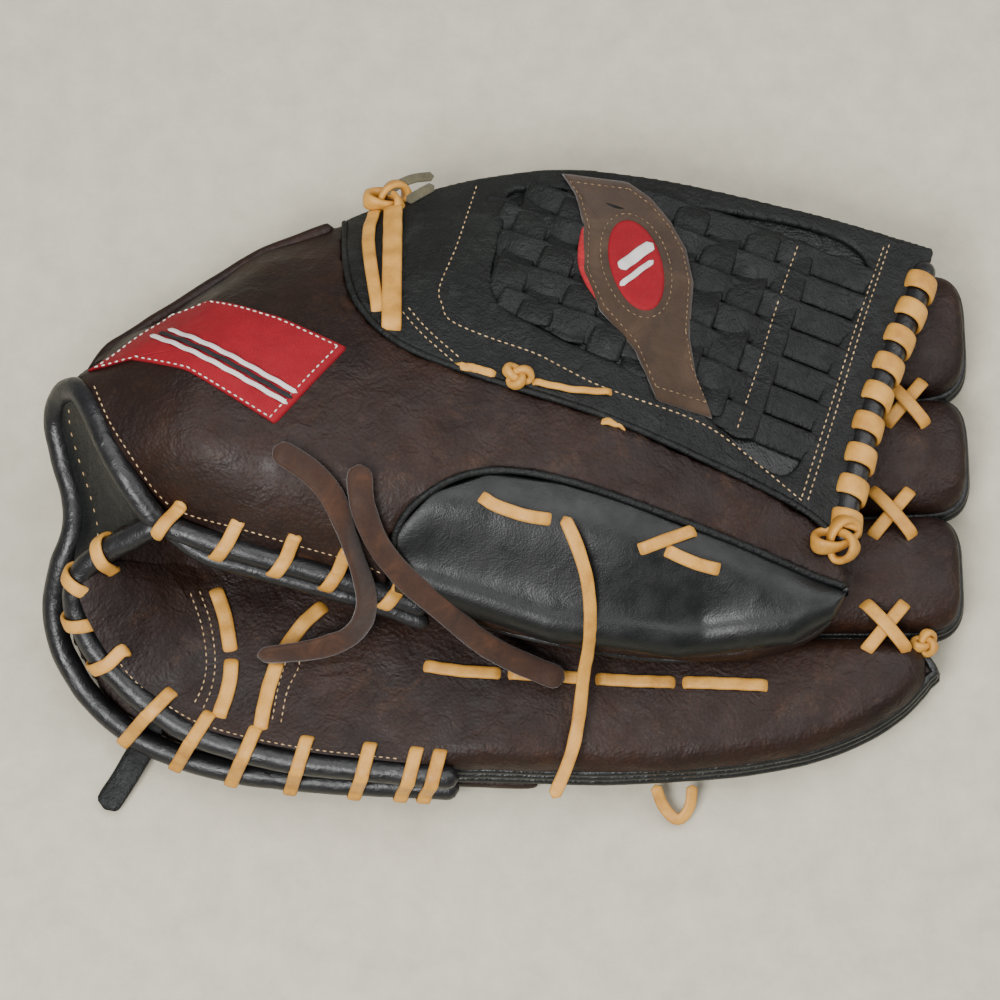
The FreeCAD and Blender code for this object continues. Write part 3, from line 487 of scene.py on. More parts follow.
def laid_patch(height, outline, lift, thick, edge=1.2, rings=26, step=2.0):
    """A flat piece cut to an outline and laid at a height over the plan, its edge turned down."""
    closed = [Vector((*p, 0)) for p in outline]
    rim = spaced([*closed, closed[0]], step)
    count = len(rim) - 1
    middle = sum((p for p in rim[:-1]), Vector()) / count

    def place(u, v):
        p = rim[round(u * count) % count]
        q = middle.lerp(p, 1 - (1 - v) ** 1.35)
        z = height(q.x, q.y)
        return q.x, q.y, z + lift + thick * (rounding((q - p).length, edge) - 0.5)

    bm = mapped_grid(count, rings, place, True)
    for _ in range(2):
        bmesh.ops.smooth_vert(bm, verts=[v for v in bm.verts if not v.is_boundary], factor=0.4,
                              use_axis_z=True)
    grown = bmesh.ops.extrude_face_region(bm, geom=bm.faces[:], use_keep_orig=True)["geom"]
    bmesh.ops.translate(bm, verts=[g for g in grown if isinstance(g, bmesh.types.BMVert)], vec=(0, 0, -thick))
    bmesh.ops.recalc_face_normals(bm, faces=bm.faces)
    return bm


def stitch_row(bm, ground, points, pitch, length=1.7, radius=0.29, lift=0.12):
    """A row of stitches along a plan line on the leather."""
    laid = ground.line(points, pitch / 2, lift)
    for i in range(0, len(laid) - 1, 2):
        (a, n), (b, _) = laid[i], laid[i + 1]
        way = (b - a).normalized()
        side = way.cross(n).normalized()
        turn = Matrix((way, side, side.cross(way))).transposed().to_4x4()
        place = Matrix.Translation((a + b) / 2) @ turn @ Matrix.Diagonal((length / 2, radius, radius, 1))
        bmesh.ops.create_icosphere(bm, subdivisions=1, radius=1, matrix=place)
    return bm


# ---- materials ------------------------------------------------------------------------------------
class Shader:
    """A Principled material built up from its own object's coordinates."""

    def __init__(self, name):
        self.material = bpy.data.materials.new(name)
        self.material.use_nodes = True
        self.tree = self.material.node_tree
        self.body = self.tree.nodes["Principled BSDF"]
        self.where = self.tree.nodes.new("ShaderNodeTexCoord").outputs["Object"]

    def put(self, socket, value):
        """Links a socket to another one, or sets its number or colour."""
        if hasattr(value, "links"):
            self.tree.links.new(value, socket)
        elif socket.type == "RGBA":
            socket.default_value = (*value, 1)
        else:
            socket.default_value = value

    def node(self, kind, **inputs):
        node = self.tree.nodes.new("ShaderNode" + kind)
        for name, value in inputs.items():
            self.put(node.inputs[name.replace("_", " ")], value)
        return node

    def set(self, **values):
        for name, value in values.items():
            self.put(self.body.inputs[name.replace("_", " ")], value)

    def noise(self, size_mm, detail=3.0, rough=0.55, distort=0.0):
        return self.node("TexNoise", Vector=self.where, Scale=1000 / size_mm, Detail=detail, Roughness=rough,
                         Distortion=distort).outputs["Fac"]

    def cells(self, size_mm):
        return self.node("TexVoronoi", Vector=self.where, Scale=1000 / size_mm).outputs["Distance"]

    def wave(self, size_mm, turn=0.0):
        turned = self.node("Mapping", Vector=self.where, Rotation=(0, 0, turn)).outputs["Vector"]
        return self.node("TexWave", Vector=turned, Scale=1000 / size_mm / 3.2, Distortion=0.6).outputs["Fac"]

    def ramp(self, value, stops):
        node = self.node("ValToRGB", Fac=value)
        elements = node.color_ramp.elements
        while len(elements) < len(stops):
            elements.new(0.5)
        for element, (at, colour) in zip(elements, stops):
            element.position = at
            element.color = (*colour, 1)
        return node.outputs["Color"]

    def blend(self, share, a, b):
        node = self.node("Mix")
        node.data_type = "RGBA"
        for index, value in ((0, share), (6, a), (7, b)):
            self.put(node.inputs[index], value)
        return node.outputs[2]

    def product(self, a, b):
        node = self.node("Math")
        node.operation = "MULTIPLY"
        self.put(node.inputs[0], a)
        self.put(node.inputs[1], b)
        return node.outputs[0]

    def range(self, value, low, high, from_low=0.3, from_high=0.7):
        return self.node("MapRange", Value=value, From_Min=from_low, From_Max=from_high, To_Min=low,
                         To_Max=high).outputs["Result"]

    def bump(self, *heights):
        """Each height is a socket, its strength and its depth in mm."""
        normal = None
        for value, strength, depth in heights:
            node = self.node("Bump", Strength=strength, Distance=depth / 1000, Height=value)
            if normal:
                self.put(node.inputs["Normal"], normal)
            normal = node.outputs["Normal"]
        self.put(self.body.inputs["Normal"], normal)

    def colour(self, value):
        self.put(self.body.inputs["Base Color"], value)

    def roughness(self, value):
        self.put(self.body.inputs["Roughness"], value)


def leather(name, dark, mid, worn, rough, grain_mm=1.3, crease_mm=9.0, relief=0.5, crease=0.5, patch_mm=38.0,
            gloss=0.4, wear=(0.56, 0.72)):
    """Grained leather: patches of colour, scuffs, pores and creases."""
    s = Shader(name)
    patches = s.ramp(s.noise(patch_mm, 4, 0.6, distort=0.4), [(0.36, dark), (0.62, mid)])
    scuffs = s.range(s.noise(patch_mm * 0.36, 5, 0.68, distort=0.5), 0.0, 0.75, *wear)
    base = s.blend(scuffs, patches, worn)
    pores = s.cells(grain_mm)
    base = s.blend(s.range(pores, 0.0, 0.35, 0.25, 0.6), base, tuple(c * 0.45 for c in dark))
    s.colour(base)
    s.roughness(s.range(s.noise(patch_mm * 0.25, 3), rough - 0.09, rough + 0.12))
    s.set(Specular_IOR_Level=gloss)
    s.bump((s.noise(crease_mm, 4, 0.6, distort=1.2), crease, 1.6), (pores, relief, 0.28),
           (s.noise(0.5, 2), 0.25, 0.12))
    return s.material


def suede(name, dark, mid, light, rough=0.85):
    """Napped leather: soft patches where the nap lies two ways."""
    s = Shader(name)
    nap = s.ramp(s.noise(14, 5, 0.7, distort=0.8), [(0.35, dark), (0.55, mid), (0.72, light)])
    s.colour(s.blend(s.range(s.noise(0.7, 3, 0.7), 0.0, 0.35), nap, light))
    s.roughness(s.range(s.noise(6, 3), rough - 0.08, rough + 0.08))
    s.set(Specular_IOR_Level=0.25, Sheen_Weight=0.25, Sheen_Roughness=0.5)
    s.bump((s.noise(7, 4, 0.6), 0.4, 1.0), (s.noise(0.6, 3, 0.7), 0.5, 0.25))
    return s.material


def rawhide(name, colour, shade, pale):
    """Lacing: tan strands with darker handled stretches and fine lengthwise fibre."""
    s = Shader(name)
    tone = s.ramp(s.noise(11, 4, 0.65), [(0.3, shade), (0.5, colour), (0.72, pale)])
    s.colour(s.blend(s.range(s.noise(0.8, 3, 0.7), 0.0, 0.3), tone, shade))
    s.roughness(s.range(s.noise(4, 3), 0.42, 0.62))
    s.set(Specular_IOR_Level=0.4)
    s.bump((s.noise(2.2, 4, 0.7), 0.45, 0.35), (s.noise(0.35, 2), 0.35, 0.1))
    return s.material


def binding(name, colour):
    """Smooth rolled binding, polished by use."""
    s = Shader(name)
    s.colour(s.ramp(s.noise(16, 4, 0.6), [(0.35, colour), (0.75, tuple(c * 2.2 + 0.004 for c in colour))]))
    s.roughness(s.range(s.noise(5, 4, 0.6), 0.3, 0.5))
    s.set(Specular_IOR_Level=0.42, Coat_Weight=0.08, Coat_Roughness=0.25)
    s.bump((s.noise(4.5, 4, 0.6, distort=0.8), 0.6, 0.9), (s.cells(0.9), 0.2, 0.12))
    return s.material


def cloth(name, colour, shade, thread_mm=0.55, turn=0.4, rough=0.75):
    """Woven or embroidered patch cloth."""
    s = Shader(name)
    across, over = s.wave(thread_mm, turn), s.wave(thread_mm, turn + math.pi / 2)
    threads = s.product(across, over)
    base = s.blend(s.range(s.noise(9, 4, 0.65), 0.0, 0.5), colour, shade)
    s.colour(s.blend(s.range(threads, 0.35, 0.0, 0.0, 0.5), base, tuple(c * 0.5 for c in shade)))
    s.roughness(s.range(s.noise(3, 3), rough - 0.08, rough + 0.1))
    s.set(Specular_IOR_Level=0.3)
    s.bump((threads, 0.5, 0.2), (s.noise(6, 3), 0.3, 0.5))
    return s.material


def thread(name, colour, shade):
    """Twisted sewing thread."""
    s = Shader(name)
    s.colour(s.ramp(s.noise(2.5, 3), [(0.35, shade), (0.65, colour)]))
    s.roughness(s.range(s.noise(1.0, 2), 0.5, 0.75))
    s.bump((s.wave(0.5, 0.7), 0.4, 0.1))
    return s.material


def felt(name, colour, shade):
    """Pressed wool felt."""
    s = Shader(name)
    s.colour(s.ramp(s.noise(3, 5, 0.75), [(0.3, shade), (0.7, colour)]))
    s.roughness(s.range(s.noise(2, 3), 0.85, 1.0))
    s.bump((s.noise(0.9, 5, 0.8), 0.8, 0.5))
    return s.material


# ---- outlines used by the pieces ------------------------------------------------------------------
WELT_Z = 12.0
PALM_RAILS = [((-141, -28), (-139, -27.5)), ((-145, -40), (-127, -26)), ((-137, -57), (-113, -24)),
              ((-125, -69.5), (-99, -12)), ((-103, -83.5), (-82, 18)), ((-69, -91.5), (-60, 44)),
              ((-40, -95), (-34, 51)), ((-14, -97.5), (-4, 57)), ((6, -98.3), (8, 50)),
              ((22, -98.8), (22, -10)), ((37, -99), (38, -46)), ((60, -98), (60, -47)),
              ((84, -96), (84, -47)), ((108, -91.5), (108, -47.3)), ((126, -84.5), (128, -47.6)),
              ((138, -77), (140, -49)), ((146, -69.5), (147, -52)), ((150, -64), (150.5, -56)),
              ((152, -60), (152, -59))]
FINGERS = {   # low edge, high edge, first x, tip, how long the tip rounds
    "pinky": ([(-14, -95.5), (37, -97), (84, -94), (108, -89.5), (126, -82), (138, -74), (146, -66),
               (151, -59)],
              [(-14, -47), (14, -46.8), (151, -47.6)], 14.0, 151.0, 17.0),
    "ring": ([(-8, -45.2), (161, -44.6)], [(-8, -10.9), (161, -2.8)], -8.0, 161.5, 14.0),
    "middle": ([(-8, -9.8), (165, -1.0)], [(-8, 24.4), (165, 41.0)], -8.0, 165.5, 14.0),
    "index": ([(-8, 25.6), (165, 42.4)], [(-8, 57.0), (14, 62.0), (100, 78.5), (165, 88.0)], -8.0, 166.5,
              15.0),
}


def rail(points, t):
    """A point at a fractional index of a smooth line."""
    i = min(int(t), len(points) - 2)
    f = t - i
    a, b = Vector((*points[max(i - 1, 0)], 0)), Vector((*points[i], 0))
    c, d = Vector((*points[i + 1], 0)), Vector((*points[min(i + 2, len(points) - 1)], 0))
    bend, twist = 2 * a - 5 * b + 4 * c - d, 3 * b - a - 3 * c + d
    return 0.5 * (2 * b + (c - a) * f + bend * f * f + twist * f ** 3)


def palm_point(u, v):
    """The palm leather runs from the heel to the tip of the little finger in one piece."""
    t = u * (len(PALM_RAILS) - 1)
    low = rail([p[0] for p in PALM_RAILS], t)
    high = rail([p[1] for p in PALM_RAILS], t)
    share = 0.5 - 0.5 * math.cos(math.pi * v)
    down = ease((low.x + 32) / 30)
    across = (high - low).normalized() if (high - low).length > 1 else Vector((0, 1, 0))
    low = low + across * min(mix(3.0, 4.2, down), 0.4 * (high - low).length)
    p = low.lerp(high, share)
    width = max((high - low).length, 0.5)
    top = palm_top(p.x, p.y)
    if p.x > 10:
        top = mix(top, 27.6 + 1.6 * math.sin(math.pi * share), ease((p.x - 10) / 25))
    side_z = mix(WELT_Z, 19.0, down)
    shape = mix(1.0, rounding(share * width, 8.0), down)
    shape *= mix(1.0, rounding((1 - share) * width, 7.0), ease((p.x - 24) / 16))
    shape *= mix(1.0, rounding(148.0 - p.x, 12.0), ease((p.x - 120) / 15))
    return p.x, p.y, side_z + (top - side_z) * shape


def stall_point(name, u, v, front):
    """A point on the front or the back of a finger stall."""
    low, high, start, tip, nose = FINGERS[name]
    body = 0.74
    if u < body:
        x, shrink = mix(start, tip - nose, u / body), 1.0
    else:
        a = (u - body) / (1 - body) * math.pi / 2
        x, shrink = tip - nose + nose * math.sin(a) ** 0.8, max(math.cos(a), 0.0) ** 0.45
    y0, y1 = along(low, x), along(high, x)
    phi = (v - 0.5) * math.pi
    s, c = math.sin(phi), max(math.cos(phi), 0.0)
    y = (y0 + y1) / 2 + (y1 - y0) / 2 * shrink * math.copysign(abs(s) ** 0.82, s)
    if front:
        top = 28.6 - 1.2 * ease((x - 20) / 120) - 4.0 * ease((14 - x) / 20)
        return x, y, WELT_Z + 0.6 + (top - WELT_Z) * c ** 0.42 * shrink ** 0.6
    return x, y, WELT_Z - 0.6 - (WELT_Z - 0.8) * c ** 0.33 * shrink ** 0.5


def gusset_point(u, v):
    """Soft leather from the heel of the palm, in under the thumb and out to the thumb's binding."""
    lower = [(-141, -29), (-133, -26.5), (-122, -26), (-110, -27), (-96, -28), (-80, -28), (-62, -30),
             (-44, -34)]
    upper = [(-135, -25, 56), (-127, -22.5, 59), (-119, -19.5, 62), (-110, -18, 63), (-98, -22.5, 62.5),
             (-82, -27, 60), (-64, -31.5, 57), (-46, -36.5, 53)]
    t = u * (len(lower) - 1)
    a = rail(lower, t)
    a.z = palm_top(a.x, a.y) - 1.5
    i = min(int(t), len(upper) - 2)
    b = Vector(upper[i]).lerp(Vector(upper[i + 1]), t - i)
    p = a.lerp(b, v)
    depth = math.sin(math.pi * v) ** 0.75 * mix(5, 26, ease(u * 2.2))
    p.y += depth
    p.x += depth * 0.2
    p.z += 1.5 * math.sin(3 * math.pi * v)
    return p


def fold_point(x, v, top_drop):
    """Leather over the outside of the fold: down from the top edge and in underneath to the finger side."""
    edge = along(FOLD_EDGE, x)
    top = thumb_top(x, edge) - top_drop
    inner = fold_y(x) - 2.0
    if v < 0.5:
        a = v / 0.5
        bulge = 4.0 * math.sin(math.pi * a)
        return x, edge - 2.0 + bulge * 0.6 + 1.2 * math.sin(math.pi * a), mix(top, 12.0, a)
    a = (v - 0.5) / 0.5
    return x, mix(edge - 2.0, inner, a), mix(12.0, 3.4, ease(a)) - 2.5 * math.sin(math.pi * a)


# ---- what a user would change ---------------------------------------------------------------------
class GloveColours(bpy.types.PropertyGroup):
    brown: FloatVectorProperty(name="Brown leather", description="Shell leather of the palm and the thumb",
                               subtype="COLOR", default=(0.024, 0.0088, 0.0044))
    brown_dark: FloatVectorProperty(name="Oiled brown", description="Darker patches of the brown leather",
                                    subtype="COLOR", default=(0.0095, 0.0036, 0.0022))
    brown_worn: FloatVectorProperty(name="Worn brown", description="Scuffed brown leather",
                                    subtype="COLOR", default=(0.046, 0.02, 0.0095))
    black: FloatVectorProperty(name="Black leather", description="Thumb panel, web and finger backs",
                               subtype="COLOR", default=(0.0052, 0.0064, 0.0056))
    lace: FloatVectorProperty(name="Lace", description="Rawhide lacing", subtype="COLOR",
                              default=(0.55, 0.27, 0.045))
    patch: FloatVectorProperty(name="Patch", description="Cloth of the patches", subtype="COLOR",
                               default=(0.3, 0.0045, 0.013))


class GloveLacing(bpy.types.PropertyGroup):
    wrap_width: FloatProperty(name="Wrap width", description="Width of the lace wound round the bindings, in mm",
                              default=4.8, min=3.0, max=7.0)
    roll_radius: FloatProperty(name="Roll radius", description="Outside radius of the rolled bindings, in mm",
                               default=4.2, min=2.0, max=4.8)
    stitch_pitch: FloatProperty(name="Stitch pitch",
                                description="Distance from one stitch to the next, in mm",
                                default=2.4, min=2.0, max=5.0)


class GloveStage(bpy.types.PropertyGroup):
    lens: FloatProperty(name="Lens", description="Camera lens, in mm", default=92.57, min=30, max=200)
    elevation: FloatProperty(name="Camera elevation", description="Angle above the horizon", subtype="ANGLE",
                             default=math.radians(75))
    distance: FloatProperty(name="Camera distance", description="From the camera to the glove", unit="LENGTH",
                            default=0.9)


class GLOVE_OT_materials(bpy.types.Operator):
    """Make every finish of the glove"""
    bl_idname = "glove.materials"
    bl_label = "Leather and Cloth"

    def execute(self, context):
        tone = context.scene.glove_colours
        brown, dark, worn, black = (tuple(c) for c in (tone.brown, tone.brown_dark, tone.brown_worn,
                                                       tone.black))
        lace, patch = tuple(tone.lace), tuple(tone.patch)
        grey = tuple(c * 2.6 + 0.008 for c in black)
        MATERIALS.update({
            "brown_leather": leather("brown_leather", dark, brown, worn, 0.54, gloss=0.27),
            "black_leather": leather("black_leather", tuple(c * 0.6 for c in black), black, grey, 0.42, 1.1,
                                     8.0,
                                     0.45, 0.5, gloss=0.45, wear=(0.6, 0.8)),
            "panel_leather": leather("panel_leather", tuple(c * 0.7 for c in black), black, grey, 0.42, 0.7,
                                     7.0,
                                     0.16, 0.12, 30.0, gloss=0.38, wear=(0.62, 0.85)),
            "web_leather": leather("web_leather", tuple(c * 0.7 for c in black),
                                   tuple(c * 1.2 for c in black), grey,
                                   0.6, 0.9, 5.0, 0.6, 0.6, gloss=0.3, wear=(0.52, 0.78)),
            "black_binding": binding("black_binding", (0.004, 0.004, 0.0045)),
            "lining": leather("lining", (0.05, 0.028, 0.02), (0.08, 0.046, 0.032), (0.14, 0.09, 0.06), 0.6),
            "rawhide": rawhide("rawhide", lace, tuple(c * f for c, f in zip(lace, (0.68, 0.6, 0.5))),
                               tuple(min(1, c * 1.15 + 0.02) for c in lace)),
            "thong": suede("thong", (0.013, 0.005, 0.0026), (0.027, 0.0098, 0.0042), (0.062, 0.023, 0.008),
                           0.7),
            "strap_suede": suede("strap_suede", (0.024, 0.0125, 0.0065), (0.04, 0.022, 0.0115),
                                 (0.062, 0.036, 0.02)),
            "red_cloth": cloth("red_cloth", patch, tuple(c * 0.6 for c in patch)),
            "white_cloth": cloth("white_cloth", (0.75, 0.73, 0.69), (0.5, 0.48, 0.45), 0.5),
            "dark_cloth": cloth("dark_cloth", (0.02, 0.02, 0.022), (0.01, 0.01, 0.01), 0.5),
            "tan_thread": thread("tan_thread", (0.52, 0.37, 0.2), (0.3, 0.19, 0.09)),
            "dull_thread": thread("dull_thread", (0.2, 0.13, 0.07), (0.1, 0.06, 0.03)),
            "white_thread": thread("white_thread", (0.8, 0.76, 0.68), (0.55, 0.5, 0.42)),
            "felt": felt("felt", (0.6, 0.55, 0.47), (0.4, 0.36, 0.3)),
            "olive_suede": suede("olive_suede", (0.045, 0.04, 0.022), (0.085, 0.075, 0.042),
                                 (0.14, 0.125, 0.08)),
            "red_felt": felt("red_felt", (0.45, 0.015, 0.02), (0.2, 0.005, 0.01)),
        })
        return {"FINISHED"}


LIT_POINT = (0, 0, 0.03)
LIGHTS = (("key", (-0.35, -0.55, 0.95), 0.5, 17), ("fill", (0.75, 0.2, 0.8), 0.9, 7),
          ("top", (0.0, 0.35, 1.2), 0.9, 9))            # place and size in m, power in W
SKY, SKY_STRENGTH = (0.95, 0.96, 1.0), 0.32
FLOOR_HALF = 4000


class GLOVE_OT_stage(bpy.types.Operator):
    """Camera, soft lights and the pale floor"""
    bl_idname = "glove.stage"
    bl_label = "Stage"

    def execute(self, context):
        wish = context.scene.glove_stage
        target = TO_FRAME @ Vector((0, 0, 30))
        back = Vector((0, -math.cos(wish.elevation), math.sin(wish.elevation)))
        data = bpy.data.cameras.new("camera")
        data.lens = wish.lens
        data.sensor_width = 36
        data.clip_start, data.clip_end = 0.01, 20
        camera = bpy.data.objects.new("camera", data)
        camera.location = target + back * wish.distance
        camera.rotation_mode = "QUATERNION"
        camera.rotation_quaternion = (-back).to_track_quat("-Z", "Y")
        context.scene.collection.objects.link(camera)
        context.scene.camera = camera
        for name, at, size, power in LIGHTS:
            lamp = bpy.data.lights.new(name, "AREA")
            lamp.energy, lamp.size = power, size
            light = bpy.data.objects.new(name, lamp)
            light.location = at
            light.rotation_mode = "QUATERNION"
            light.rotation_quaternion = (Vector(LIT_POINT) - Vector(at)).to_track_quat("-Z", "Y")
            context.scene.collection.objects.link(light)
        world = bpy.data.worlds.new("world")
        world.use_nodes = True
        sky = world.node_tree.nodes["Background"].inputs
        sky["Color"].default_value = (*SKY, 1)
        sky["Strength"].default_value = SKY_STRENGTH
        context.scene.world = world
        bm = bmesh.new()
        bmesh.ops.create_grid(bm, x_segments=1, y_segments=1, size=FLOOR_HALF)
        s = Shader("pale_floor")
        s.colour(s.ramp(s.noise(14, 5, 0.7), [(0.3, (0.45, 0.42, 0.33)), (0.7, (0.54, 0.505, 0.4))]))
        s.set(Roughness=0.95, Specular_IOR_Level=0.1)
        s.bump((s.noise(3, 4, 0.7), 0.3, 0.6))
        MATERIALS["pale_floor"] = s.material
        floor = make_object(bm, "floor", "pale_floor", None, finish=False)
        return {"FINISHED"}


LACE_TAIL = [(21, -19, 80.5), (27, -31, 77.5), (30, -45, 68.5), (30, -57, 57), (28, -66, 44),
             (27, -78, 35), (24, -92, 31.5), (18, -105, 31)]
THONG_SHORT = [(-74, 1, 92.5), (-65, -4, 91.5), (-56, -11.5, 88.5), (-51.5, -21, 83), (-48, -31, 75),
               (-43.5, -43, 61), (-48, -51.5, 47), (-61, -55, 38.8), (-75, -56.3, 36.8), (-83, -57, 36.8)]
THONG_LONG = [(-46, -4, 90), (-46, -13, 88), (-43.5, -22, 83), (-39, -30, 76.5), (-31, -38, 69),
              (-22, -44, 63.5), (-13, -50.5, 55), (-4, -56, 46.5), (9, -61, 39.5), (22, -65.5, 37.2)]
TAIL_FACES = [(0.1, -0.2, 1), (0.2, -0.5, 1), (0.3, -1, 0.6), (0.35, -1, 0.2), (0.3, -1, 0.5),
              (0.1, -0.3, 1), (0, 0, 1), (0, 0, 1)]
SHORT_FACES = [(0, 0, 1), (0, 0, 1), (0.2, 0, 1), (0.9, -0.2, 0.5), (1, -0.4, 0.3), (0.7, -0.8, 0.4),
               (0.2, -0.9, 0.5), (-0.1, -0.8, 0.8), (0, -0.9, 0.6), (0, -1, 0.4)]
LONG_FACES = [(0, 0, 1), (0, 0, 1), (0.3, 0, 1), (0.5, -0.3, 1), (0.3, -0.5, 1), (0.2, -0.7, 1),
              (0.1, -0.7, 1), (0.1, -0.5, 1), (0, -0.2, 1), (0, 0, 1)]
THONG = (8.4, 2.4, 6.4, "thong", "rawhide_thong")
# route, where its flat side faces, CAD node, width, thickness, CAD diameter, finish, slot
FREE_LACES = (
    ("lace_tail", LACE_TAIL, TAIL_FACES, "thumb_lace_tail", 4.6, 1.7, 4.8, "rawhide", "tan_lace"),
    ("thong_short", THONG_SHORT, SHORT_FACES, "thong_short", *THONG),
    ("thong_long", THONG_LONG, LONG_FACES, "thong_long", *THONG))


class GLOVE_OT_free_laces(bpy.types.Operator):
    """The two thongs and the lace tail that hang free"""
    bl_idname = "glove.free_laces"
    bl_label = "Free Laces"

    def along_spline(self, context, name, route):
        """Points read from a spline through a lace's route."""
        data = bpy.data.curves.new(name + "_line", "CURVE")
        data.dimensions = "3D"
        data.resolution_u = 24
        spline = data.splines.new("NURBS")
        spline.points.add(len(route) - 1)
        for point, at in zip(spline.points, route):
            point.co = (*at, 1)
        spline.order_u = 3
        spline.use_endpoint_u = True
        line = bpy.data.objects.new(name + "_line", data)
        context.scene.collection.objects.link(line)
        context.view_layer.update()
        mesh = bpy.data.meshes.new_from_object(line)
        points = [v.co.copy() for v in mesh.vertices]
        bpy.data.objects.remove(line)
        bpy.data.meshes.remove(mesh)
        return points

    def execute(self, context):
        for name, route, faces, node, width, thick, diameter, finish, slot in FREE_LACES:
            points = spaced(self.along_spline(context, name, route), 1.5)
            ups = [Vector(face).normalized() for face in faces]

            def facing(t, ups=ups):
                t *= len(ups) - 1
                i = min(int(t), len(ups) - 2)
                return ups[i].lerp(ups[i + 1], t - i)

            bm = bmesh.new()
            stations = frames_along(points, facing)
            swept(bm, stations, width / 2, thick / 2, 12, 0.6, width / 2)
            piece = make_object(bm, name + "_piece", finish, THUMB, [node],
                                lambda p: 0.22 * wrinkle(p, 6, 3.0), recalc=False)
        return {"FINISHED"}


class GLOVE_OT_fingers(bpy.types.Operator):
    """Front, back and piping of each finger stall"""
    bl_idname = "glove.fingers"
    bl_label = "Finger Stalls"

    def execute(self, context):
        for seed, name in enumerate(FINGERS):
            if name != "pinky":
                bm = mapped_grid(70, 30, lambda u, v: stall_point(name, u, v, True), True)
                make_object(bm, name + "_stall_front", "brown_leather", FINGER,
                            [name + "_front"], lambda p: 0.5 * wrinkle(p, 17, seed) + 0.25 * wrinkle(p, 6,
                                                                                                     seed))
            bm = mapped_grid(70, 30, lambda u, v: stall_point(name, u, v, False), True)
            make_object(bm, name + "_stall_back", "black_leather", FINGER,
                        [name + "_back"], lambda p: (0.25 * wrinkle(p, 14, seed)) if p.z > 2 else 0.0)
            bm = bmesh.new()
            edges = [(Vector(stall_point(name, k / 60, v, True)), v) for v in (0, 1) for k in range(61)]
            if name == "pinky":
                edges = [(Vector(palm_point(0.36 + 0.64 * k / 60, v)), v) for v in (0, 1) for k in range(61)]
            rim = [p for p, v in edges if v == 0] + [p for p, v in edges if v == 1][::-1]
            for z, out, radius in ((WELT_Z - 0.5, 0.9, 1.9), (WELT_Z + 3.4, 0.2, 1.7)) + (
                    ((WELT_Z + 7.0, -0.6, 1.6),) if name == "pinky" else ()):
                line = []
                for i, p in enumerate(rim):
                    way = rim[min(i + 1, len(rim) - 1)] - rim[max(i - 1, 0)]
                    p = Vector((p.x, p.y, z)) + Vector((way.y, -way.x, 0)).normalized() * out
                    if not line or (p - line[-1]).length > 1.2:
                        line.append(p)
                swept(bm, frames_along(spaced(line, 1.6), (0, 0, 1)), radius, radius, 10, 1.0, radius)
            make_object(bm, name + "_piping", "black_leather", FINGER,
                        [name + "_welt"], lambda p: 0.15 * wrinkle(p, 9, 2), recalc=False)
        return {"FINISHED"}


def inner_layers(half, body):
    """The felt and the lining inside the palm or the thumb."""
    pad = make_object(soft_copy([half + "_pad"], 3.0, 4), half + "_felt", "felt", body,
                      [half + "_pad"], lambda p: 0.3 * wrinkle(p, 12, 1))
    make_object(soft_copy([half + "_lining"], 1.6, 2), half + "_lining_leather", "lining", body,
                [half + "_lining"], lambda p: 0.2 * wrinkle(p, 12, 1))


class GLOVE_OT_palm(bpy.types.Operator):
    """Palm leather, the back of the hand, felt and linings"""
    bl_idname = "glove.palm"
    bl_label = "Palm and Back of the Hand"

    def execute(self, context):
        def folds(p):
            crease = 0.9 * wrinkle(p, 26, 5) + 0.45 * wrinkle(p, 9, 2)
            return crease * (1 - 0.6 * ease((p.x - 20) / 60))

        bm = mapped_grid(190, 84, palm_point, True)
        make_object(bm, "palm_leather", "brown_leather", FINGER,
                    ["palm_front", "pinky_front", "palm_welt"], folds)
        bm = soft_copy(["hand_back"], 2.2, 3)
        make_object(bm, "hand_back_leather", "brown_leather", FINGER, ["hand_back"],
                    lambda p: 0.3 * wrinkle(p, 15, 7) if p.z > 3.4 else 0.0)
        inner_layers("palm", FINGER)
        bm = mapped_grid(110, 36, gusset_point)
        gusset = make_object(bm, "heel_gusset", "brown_leather", None,
                             wrinkles=lambda p: 0.9 * wrinkle(p, 16, 4) + 0.4 * wrinkle(p, 6, 4))
        ride_both(gusset)
        return {"FINISHED"}


def panel_point(u, v):
    """The thumb's black panel: full, and turned under along its free edge."""
    x = 40.4 - 76.8 * math.cos(math.pi * u)
    high, low = along(PANEL_TOP, x), along(THUMB_EDGE, x) - 0.8
    bulge = min(8.0, max((high - low) * 0.42, 0.05))
    crown = thumb_top(x, low + bulge) + 0.6
    if v < 0.62:
        t = v / 0.62
        y = mix(high, low + bulge, t)
        full = 2.4 * math.sin(math.pi * min(t * 0.75, 1)) * ease((high - low) / 20)
        return x, y, mix(thumb_top(x, y), crown, t * t) - 0.6 * (1 - t) + full
    a = math.radians(90 - 165 * (v - 0.62) / 0.38)
    drop = bulge * 0.95
    lift = 2.4 * math.sin(math.pi * 0.75) * ease((high - low) / 20) * max(math.sin(a), 0)
    return x, low + bulge - bulge * math.cos(a), crown - drop + drop * math.sin(a) + lift


